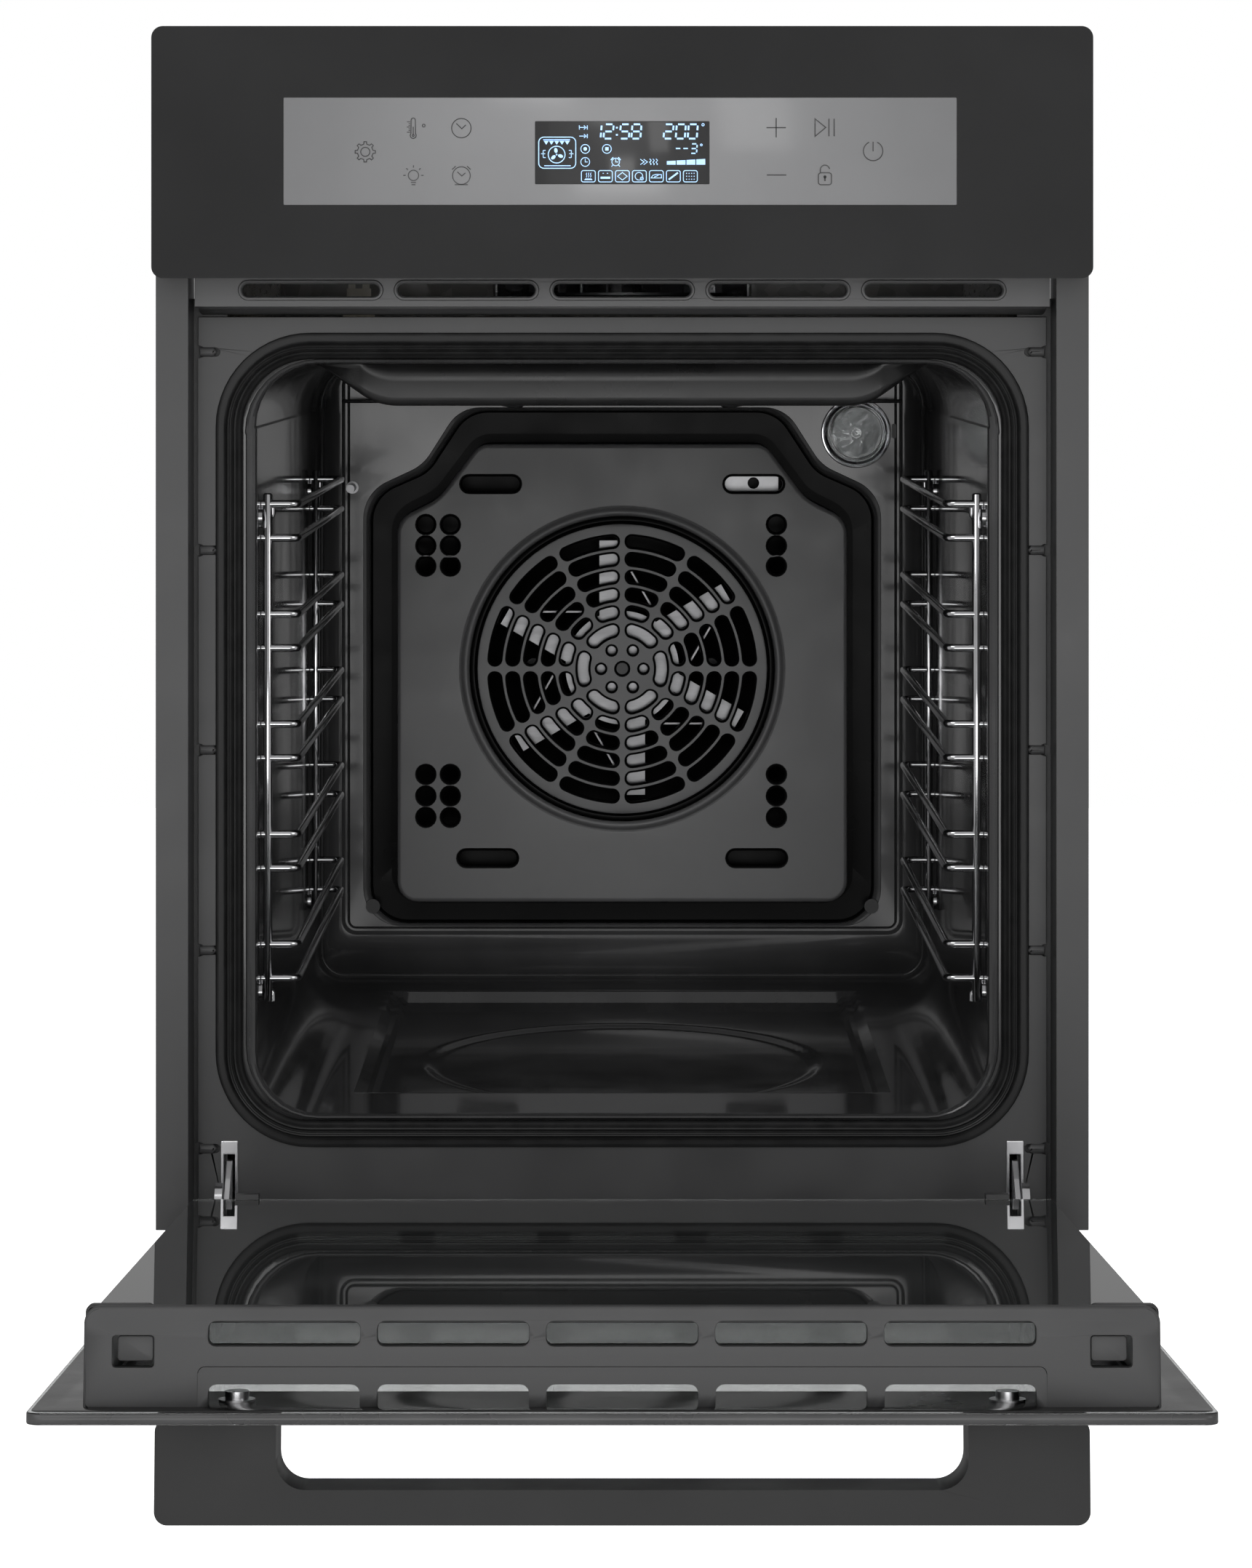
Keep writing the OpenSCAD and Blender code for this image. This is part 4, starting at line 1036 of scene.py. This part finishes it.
def clock_marks(pen):
    """The clock, and the alarm clock below it."""
    pen.circle(-76.5, 528.4, 4.6)
    pen.line((-78.9, 530.6), (-76.3, 528.1), (-74.4, 529.9))
    pen.circle(-76.5, 505.8, 4.2)
    pen.line((-78.4, 507.6), (-76.3, 505.6), (-74.6, 507.1))
    for side in (-1, 1):
        pen.line((-76.5 + side * 4.4, 508.7), (-76.5 + side * 2.7, 510.3))
    pen.line((-79.6, 501.5), (-73.4, 501.5))


def light_bulb_mark(pen):
    cx, cz = -99.3, 505.9
    pen.circle(cx, cz, 2.45)
    for i in range(5):
        pen.line(polar(cx, cz, 3.7, 45 * i), polar(cx, cz, 4.8, 45 * i))
    pen.line((-100.5, 502.6), (-98.1, 502.6))
    pen.line((-100.2, 501.5), (-98.4, 501.5))


def right_marks(pen):
    """Plus, minus, start and pause, the child lock and the power sign."""
    bold = 0.5
    for path in ([(68.6, 528.6), (77.8, 528.6)], [(73.2, 524), (73.2, 533.2)], [(68.8, 506.1), (78, 506.1)],
                 [(98.3, 532.9), (98.3, 524.5)], [(100.8, 532.9), (100.8, 524.5)],
                 [(94.2, 507.2), *arc(96.4, 508.6, 2.2, 180, 10, 10)],
                 arc(119.3, 517.5, 4.6, 115, 425, 40), [(119.3, 521.9), (119.3, 517.4)]):
        pen.line(*path, width=bold)
    pen.line((91.7, 532.8), (91.7, 524.5), (96.8, 528.7), closed=True, width=bold)
    pen.line(*round_box(6.2, 5.7, 1.2, 4, 96.4, 504.3), closed=True, width=bold)
    pen.line((96.4, 505.6), (96.4, 503.2), width=0.7)
    pen.circle(96.4, 505.2, 0.45, 0.6)


def key_symbols():
    """The touch keys' line symbols."""
    pen = Pen(2, 0.42, 40)
    gear_mark(pen)
    thermometer_mark(pen)
    clock_marks(pen)
    light_bulb_mark(pen)
    right_marks(pen)
    pen.piece("key_symbols", "symbol", weld=False)


def display_numbers(pen):
    """The time, the temperature and the small figure below it."""
    for figure, x in zip("1258200", (-14.6, -8.9, -1.2, 4.3, 19.6, 25.4, 31.1)):
        pen.digit(figure, x, 523.4, 4.3, 6.8, 0.85)
    for z in (525.2, 528.6):
        pen.block(-3.0, z - 0.4, -2.1, z + 0.4)
    pen.circle(38.4, 530, 0.55)
    pen.digit("3", 32.4, 516.4, 2.9, 4.5, 0.62)
    pen.circle(37.6, 520.4, 0.45)
    for x in (25.5, 29.1):
        pen.line((x, 518.7), (x + 2.1, 518.7), width=0.6)


def oven_picture(pen):
    """The cooking mode: an oven with its heaters and its three-bladed fan."""
    pen.line(*round_box(17.6, 14.8, 2.4, 5, -30.9, 516.7), closed=True, width=0.42)
    pen.line((-37.6, 522.9), (-24.8, 522.9), width=0.4)
    pen.line((-37.1, 510.5), (-24.5, 510.5), width=0.4)
    for i in range(5):
        x = -37.4 + 2.5 * i
        pen.patch((x, 522.4), (x + 1.25, 520.5), (x + 2.5, 522.4))
    fan_x, fan_z = -31.2, 515.8
    pen.circle(fan_x, fan_z, 4.0, 0.42)
    for i in range(3):
        a = radians(100 + 120 * i)
        cx, cz = polar(fan_x, fan_z, 2.0, 100 + 120 * i)
        pen.patch(*[(cx + 1.25 * cos(t) * cos(a) - 0.8 * sin(t) * sin(a),
                     cz + 1.25 * cos(t) * sin(a) + 0.8 * sin(t) * cos(a)) for t in turns(14)])
    pen.patch(*ring(fan_x, fan_z, 0.4, 10))
    for side in (-1, 1):
        mid = -30.9 + side * 6.7
        pen.line((mid, 517.8), (mid, 514.4))
        pen.line((mid - 1, 516.2), (mid + 1, 516.2))
        for z in (517.8, 514.4):
            pen.line((mid, z), (mid - side * 1.2, z))


def timer_marks(pen):
    """The start and end arrows, the timers, the alarm and the heating bar."""
    for z in (528.7, 524.6):
        x = -20.4
        pen.line((x, z), (x + 3.6, z))
        pen.line((x + 2.2, z + 0.9), (x + 3.2, z), (x + 2.2, z - 0.9))
        pen.line((x + 3.8, z + 1), (x + 3.8, z - 1))
    pen.line((-20.4, 529.7), (-20.4, 527.7))
    for cx, cz, r in ((-17.6, 518.5, 2.1), (-7.3, 518.5, 2.1), (-17.6, 512.3, 2.1), (-3.1, 512.3, 1.8)):
        pen.circle(cx, cz, r)
    pen.patch(*ring(-17.6, 518.5, 0.9, 12))
    pen.block(-8.1, 517.7, -6.5, 519.3)
    for cx in (-17.6, -3.1):
        pen.line((cx, 513.8), (cx, 512.3), (cx + 1.2, 512.3))
    for side in (-1, 1):
        pen.line((-3.1 + side * 2.3, 513.2), (-3.1 + side * 1.2, 514.5), width=0.5)
        pen.line((-3.1 + side * 1.3, 510.9), (-3.1 + side * 2, 510.1))
    for x in (8.6, 10.2):
        pen.line((x, 513.6), (x + 1.8, 512.3), (x, 511))
    for x in (13.4, 14.9, 16.4):
        pen.line(*[(x + 0.35 * sin(k * 1.2), 510.9 + 0.32 * k) for k in range(10)])
    for i in range(4):
        x, top = 21.2 + 4.68 * i, 512.7 + 0.28 * i
        pen.patch((x, 511), (x + 4.2, 511), (x + 4.2, top + 0.2), (x, top))


def food_mark(pen, kind, cx, cz):
    """One of the small drawings in the bottom row: steam, tray, rack, dish, fish, knife or grid."""
    if kind == 0:
        pen.patch((cx - 2, cz - 1.8), (cx + 2, cz - 1.8), (cx + 1.4, cz - 1.1), (cx - 1.4, cz - 1.1))
        for x in (cx - 1, cx, cx + 1):
            pen.line((x, cz - 0.6), (x + 0.3, cz + 0.2), (x, cz + 1), (x + 0.3, cz + 1.7), width=0.26)
    if kind == 1:
        pen.block(cx - 2.3, cz - 1.2, cx + 2.3, cz - 0.2)
        for x in (cx - 1, cx + 1):
            pen.line((x - 0.3, cz + 1.4), (x + 0.3, cz + 1.4))
    if kind == 2:
        pen.line((cx - 2.3, cz), (cx, cz + 1.8), (cx + 2.3, cz), (cx, cz - 1.8), closed=True)
    if kind == 3:
        pen.circle(cx - 0.2, cz, 1.8)
        pen.circle(cx + 1.2, cz - 1.1, 0.7)
    if kind == 4:
        pen.line((cx - 2.5, cz - 0.8), (cx - 1.6, cz + 0.5), (cx, cz + 0.9), (cx + 2.4, cz + 0.8),
                 (cx + 2.4, cz - 0.8), closed=True)
        pen.line((cx - 1, cz - 0.4), (cx + 1, cz + 0.5))
    if kind == 5:
        pen.line((cx - 2.2, cz - 1.6), (cx + 2.2, cz + 1.7), width=0.8)
    if kind == 6:
        for i in range(4):
            for j in range(3):
                x, z = cx - 1.8 + 1.2 * i, cz - 1.4 + 1.4 * j
                pen.patch((x - 0.3, z), (x, z - 0.3), (x + 0.3, z), (x, z + 0.3))


def display_marks():
    """The lit marks in the display window."""
    pen = Pen(3, 0.34, 28)
    display_numbers(pen)
    oven_picture(pen)
    timer_marks(pen)
    for i in range(7):
        cx = -16.1 + 8.08 * i
        pen.line(*round_box(6.6, 5.4, 0.9, 3, cx, 505.5), closed=True, width=0.36)
        food_mark(pen, i, cx, 505.5)
    pen.piece("display_segments", "lit", weld=False)


def printed_plate(name, key, outline, layer):
    """A thin printed area on one layer in front of the control glass."""
    mesh = Mesh()
    mesh.fill(outline, [], PANEL.y0 - layer * PRINT_LIFT)
    thicken(mesh.piece(name, key), 0.1)


def controls():
    printed_plate("touch_zone", "touch", round_box(320, 51, 0.4, 2, -1, 517.4), 1)
    printed_plate("display_window", "window", round_box(83, 30, 0.4, 2, 0, 516.7), 2)
    key_symbols()
    display_marks()


# ---- door ----


class DoorMesh(Mesh):
    """A mesh drawn on the closed door and turned with it to the open door."""

    def piece(self, name, key, replaces=(), angle=35, body="door"):
        return super().piece(name, key, replaces, angle, body, place=AS_OPENED)


def door_span():
    """The open door's parts, measured on the closed door."""
    closing = AS_OPENED.inverted()
    spans = {}
    for node in ("door_top_rail", "door_outer_glass", "door_inner_glass"):
        spots = np.array([closing @ v.co for v in frame["nodes"][node].data.vertices]) / MM
        spans[node] = (spots.min(0), spots.max(0))
    return spans


DOOR = door_span()
RAIL_PITCH = 64
SLOT_L = 57.5


def rail_notch(i):
    """The open notch between two ribs on the rail's glass side."""
    (_, y0, _), (_, y1, _) = DOOR["door_top_rail"]
    right, left = RAIL_PITCH * i + SLOT_L / 2, RAIL_PITCH * i - SLOT_L / 2
    return [(right, y0, 0), (right, y1 - 28.9, 3.4), (left, y1 - 28.9, 3.4), (left, y0, 0)]


def door_rail():
    """The plastic rail across the door's top edge: slotted face, lowered field and rounded corners."""
    (_, y0, z0), (x1, y1, z1) = DOOR["door_top_rail"]
    fall, fall_over = 1.7, 10.5
    crease = y1 - fall_over
    field_x, field_y = 160.8, y1 - 22.1
    step = 0.5
    half = x1 + 0.9
    mesh = DoorMesh()

    def face_z(y, drop=0.0):
        return z1 - drop - fall * max(0.0, (y - crease) / fall_over)

    def flat(outer, holes, drop):
        """Fills an outline and folds the face down along the crease."""
        part = Mesh()
        part.fill(outer, holes, 0)
        work = bmesh.new()
        spots = [work.verts.new((x, z, 0)) for x, _, z in part.points]
        for face in part.faces:
            work.faces.new([spots[i] for i in face])
        bmesh.ops.bisect_plane(work, geom=work.verts[:] + work.edges[:] + work.faces[:],
                               plane_co=(0, crease, 0), plane_no=(0, 1, 0))
        work.verts.index_update()
        work.normal_update()
        points = [(v.co.x, v.co.y, face_z(v.co.y, drop)) for v in work.verts]
        faces = [tuple(v.index for v in f.verts) for f in work.faces]
        up = sum(f.normal.z * f.calc_area() for f in work.faces) > 0
        mesh.add(points, faces if up else [f[::-1] for f in faces])
        work.free()

    edge_x, edge_y = half - 1, y1 - 1
    outer = rounded([(-edge_x, y0, 1.5), (-field_x, y0, 0), (-field_x, field_y, 3), (field_x, field_y, 3),
                     (field_x, y0, 0), (edge_x, y0, 1.5), (edge_x, edge_y, 5), (-edge_x, edge_y, 5)], 7)
    openings = [slot_opening(SLOT_L, 9.1, 2.8, RAIL_PITCH * i, y1 - 10.1) for i in range(-2, 3)]
    openings += [slot_opening(15.7, 11.9, 1.3, side * 185.15, y1 - 16.6, 4) for side in (-1, 1)]
    flat(outer, [opening(0.5) for opening in openings], 0)
    for opening in openings:
        mesh.loft([[(x, y, face_z(y) - deep) for x, y in opening(out)]
                   for out, deep in [(0.5, 0), (0.15, 0.15), (0, 0.5), (0, 5.5)]])
    low_x, low_y = field_x - 0.3, field_y - 0.3
    field = [(-low_x, y0, 0), (-low_x, low_y, 2.7), (low_x, low_y, 2.7), (low_x, y0, 0)]
    low = rounded(field, 7)
    for i in range(2, -3, -1):
        field += rail_notch(i)
    flat(rounded(field, 5), [], step)
    high = rounded([(-field_x, y0, 0), (-field_x, field_y, 3), (field_x, field_y, 3), (field_x, y0, 0)], 7)
    mesh.loft([lying(high, z1), lying(low, z1 - step)], closed=False, flip=True)
    for i in range(-2, 3):
        notch = rounded(rail_notch(i), 5)
        mesh.loft([lying(notch, z1 - step - deep) for deep in (0, 5)], closed=False)

    def skirt(out):
        """The rail's two ends and its long outer side, as one open line."""
        return rounded([(-edge_x - out, y0, 0), (-edge_x - out, edge_y + out, 5 + out),
                        (edge_x + out, edge_y + out, 5 + out), (edge_x + out, y0, 0)], 8)

    levels = []
    for k in range(4):
        a = radians(30 * k)
        levels.append([(x, y, face_z(y) - 1 + cos(a)) for x, y in skirt(sin(a))])
    for depth, back_y in [(6.5, y1), (6.5, 16.3), (25, 16.3), (25, 12), (z1 - z0, 12)]:
        levels.append([(x, min(y, back_y), z1 - depth) for x, y in skirt(1)])
    mesh.loft(levels, closed=False)
    block_x = 178
    for side in (-1, 1):
        rings = []
        for inset, depth in [(1.2, 13.2), (0.3, 12.9), (0, 12.2), (0, 6)]:
            block = round_box(half - block_x - 2 * inset, 8 - 2 * inset, 2.5 - inset, 4,
                              side * (half + block_x) / 2, y1 - 4)
            rings.append(lying(block, z1 - depth))
        mesh.loft(rings, cap_start=True)
    rail = mesh.piece("door_rail_moulding", "rail", ["door_top_rail"], angle=30)
    closing = AS_OPENED.inverted()
    closed_y = [(closing @ v.co).y / MM for v in rail.data.vertices]
    for edge in rail.data.edges:
        if all(abs(closed_y[i] - crease) < 0.02 for i in edge.vertices):
            edge.use_edge_sharp = True
    return even_normals(thicken(rail, 1.6))


def catch_buttons():
    """The two press buttons in the rail's windows, each a little smaller than its window."""
    _, (_, y1, z1) = DOOR["door_top_rail"]
    for side, name in ((-1, "left"), (1, "right")):
        rings = []
        for inset, sunk in [(0, 5), (0, 2.1), (0.15, 1.75), (0.5, 1.6)]:
            outline = round_box(13.8 - 2 * inset, 9.6 - 2 * inset, 1.5 - inset, 4, side * 184.3, y1 - 15.6)
            rings.append(lying(outline, z1 - sunk))
        mesh = DoorMesh()
        mesh.solid(rings)
        catch = f"{name}_rail_catch"
        mesh.piece(f"{name}_catch_button", "rail", [catch], 50, f"{catch}_body")


def glass_prints():
    """The black printed borders of the door's glasses, and the outer glass's painted edge."""
    (x0, y0, z0), (x1, y1, z1) = DOOR["door_outer_glass"]
    w, h, middle = x1 - x0, z1 - z0, (z0 + z1) / 2
    border = DoorMesh()
    border.fill(round_box(w - 3, h - 3, 5, 6, 0, middle), [round_box(372, 330, 14, 8, 0, 236)], y1 + 0.15)
    thicken(border.piece("outer_glass_print", "print"), 0.1)
    edge = DoorMesh()
    band = round_box(w + 0.24, h + 0.24, 5.6, 8, 0, middle)
    edge.loft([standing(band, y) for y in (y0 + 0.4, y1 - 0.4)])
    thicken(edge.piece("outer_glass_edge", "edge_paint"), 0.08)
    (x0, y0, z0), (x1, _, z1) = DOOR["door_inner_glass"]
    w, h, middle = x1 - x0, z1 - z0, (z0 + z1) / 2
    border = DoorMesh()
    border.fill(round_box(w - 2, h - 2, 3, 4, 0, middle), [round_box(330, 300, 30, 8, 0, 225)], y0 - 0.12)
    thicken(border.piece("inner_glass_print", "print"), 0.1)


# ---- studio ----


def world_light():
    """The camera sees a white backdrop; everything else gets an even, dimmer room."""
    world = bpy.data.worlds.new("studio")
    bpy.context.scene.world = world
    world.use_nodes = True
    tree = world.node_tree
    backdrop = tree.nodes["Background"]
    room = tree.nodes.new("ShaderNodeBackground")
    for light, strength in ((backdrop, 1.0), (room, 0.36)):
        light.inputs["Color"].default_value = (1, 1, 1, 1)
        light.inputs["Strength"].default_value = strength
    path = tree.nodes.new("ShaderNodeLightPath")
    mix = tree.nodes.new("ShaderNodeMixShader")
    link(tree, path.outputs["Is Camera Ray"], mix.inputs["Fac"])
    link(tree, room.outputs["Background"], mix.inputs[1])
    link(tree, backdrop.outputs["Background"], mix.inputs[2])
    link(tree, mix.outputs["Shader"], tree.nodes["World Output"].inputs["Surface"])


def pale_floor():
    """A plain floor below the oven; it shines a little, so that it stays white in the dimmer room."""
    level, reach = -0.3, 4.5
    mesh = bpy.data.meshes.new("floor")
    mesh.from_pydata([(-reach, -reach, level), (reach, -reach, level), (reach, reach, level),
                      (-reach, reach, level)], [], [(0, 1, 2, 3)])
    pale = finish("pale_floor", grey(0.88, 1.0), grey(0.92, 1.0), 0.7, 0, 2, (200, 1e-5))
    mesh.materials.append(glowing(pale, (1, 1, 1), 0.9))
    floor = add_object("floor", mesh)
    floor.visible_glossy = False


def softbox(name, place, target, size, power, mirrored=True):
    """A rectangular studio lamp that faces a target; glossy surfaces may mirror it or not."""
    light = bpy.data.lights.new(name, "AREA")
    light.shape = "RECTANGLE"
    light.size, light.size_y = size
    light.energy = power
    holder = add_object(name, light)
    holder.location = place
    holder.rotation_euler = (Vector(target) - Vector(place)).to_track_quat("-Z", "Y").to_euler()
    holder.visible_glossy = mirrored


def studio():
    world_light()
    pale_floor()
    softbox("front_light", (0, -2.35, 0.08), (0, 0.46, 0.1), (1.5, 0.7), 8)
    softbox("key_light", (-1.3, -1.7, 2.2), (0, 0.1, 0.3), (1.4, 1.4), 12)
    softbox("side_light", (1.8, -1.5, 1.2), (0, 0.1, 0.25), (1.0, 1.2), 6)
    softbox("front_fill", (0, -2.3, 1.15), (0, 0.3, 0.25), (2.4, 1.6), 66, mirrored=False)
    softbox("top_fill", (0, 0, 3), (0, 0, 0), (5, 5), 60, mirrored=False)


def camera():
    """A level view from straight ahead, with the picture shifted down to the oven."""
    data = bpy.data.cameras.new("camera")
    data.sensor_fit = "VERTICAL"
    data.sensor_width = 36
    data.sensor_height = 36
    data.lens = 100.4
    data.shift_x = 0.0024
    data.shift_y = -0.296
    data.clip_start = 0.1
    data.clip_end = 50
    view = add_object("camera", data)
    view.location = (0, -2.102, 0.4372)
    view.rotation_euler = (pi / 2, 0, 0)
    bpy.context.scene.camera = view
    bpy.context.scene.view_settings.view_transform = "Standard"


dress_cad_nodes()
cavity_liner()
rear_wall()
fan_cover()
ceiling_bow()
door_seal()
rack("left", -1)
rack("right", 1)
grill_tube()
lamp()
frame_louvres()
frame_gap_shade_strips()
vent_lips()
vent_fold()
controls()
door_rail()
catch_buttons()
glass_prints()
studio()
camera()
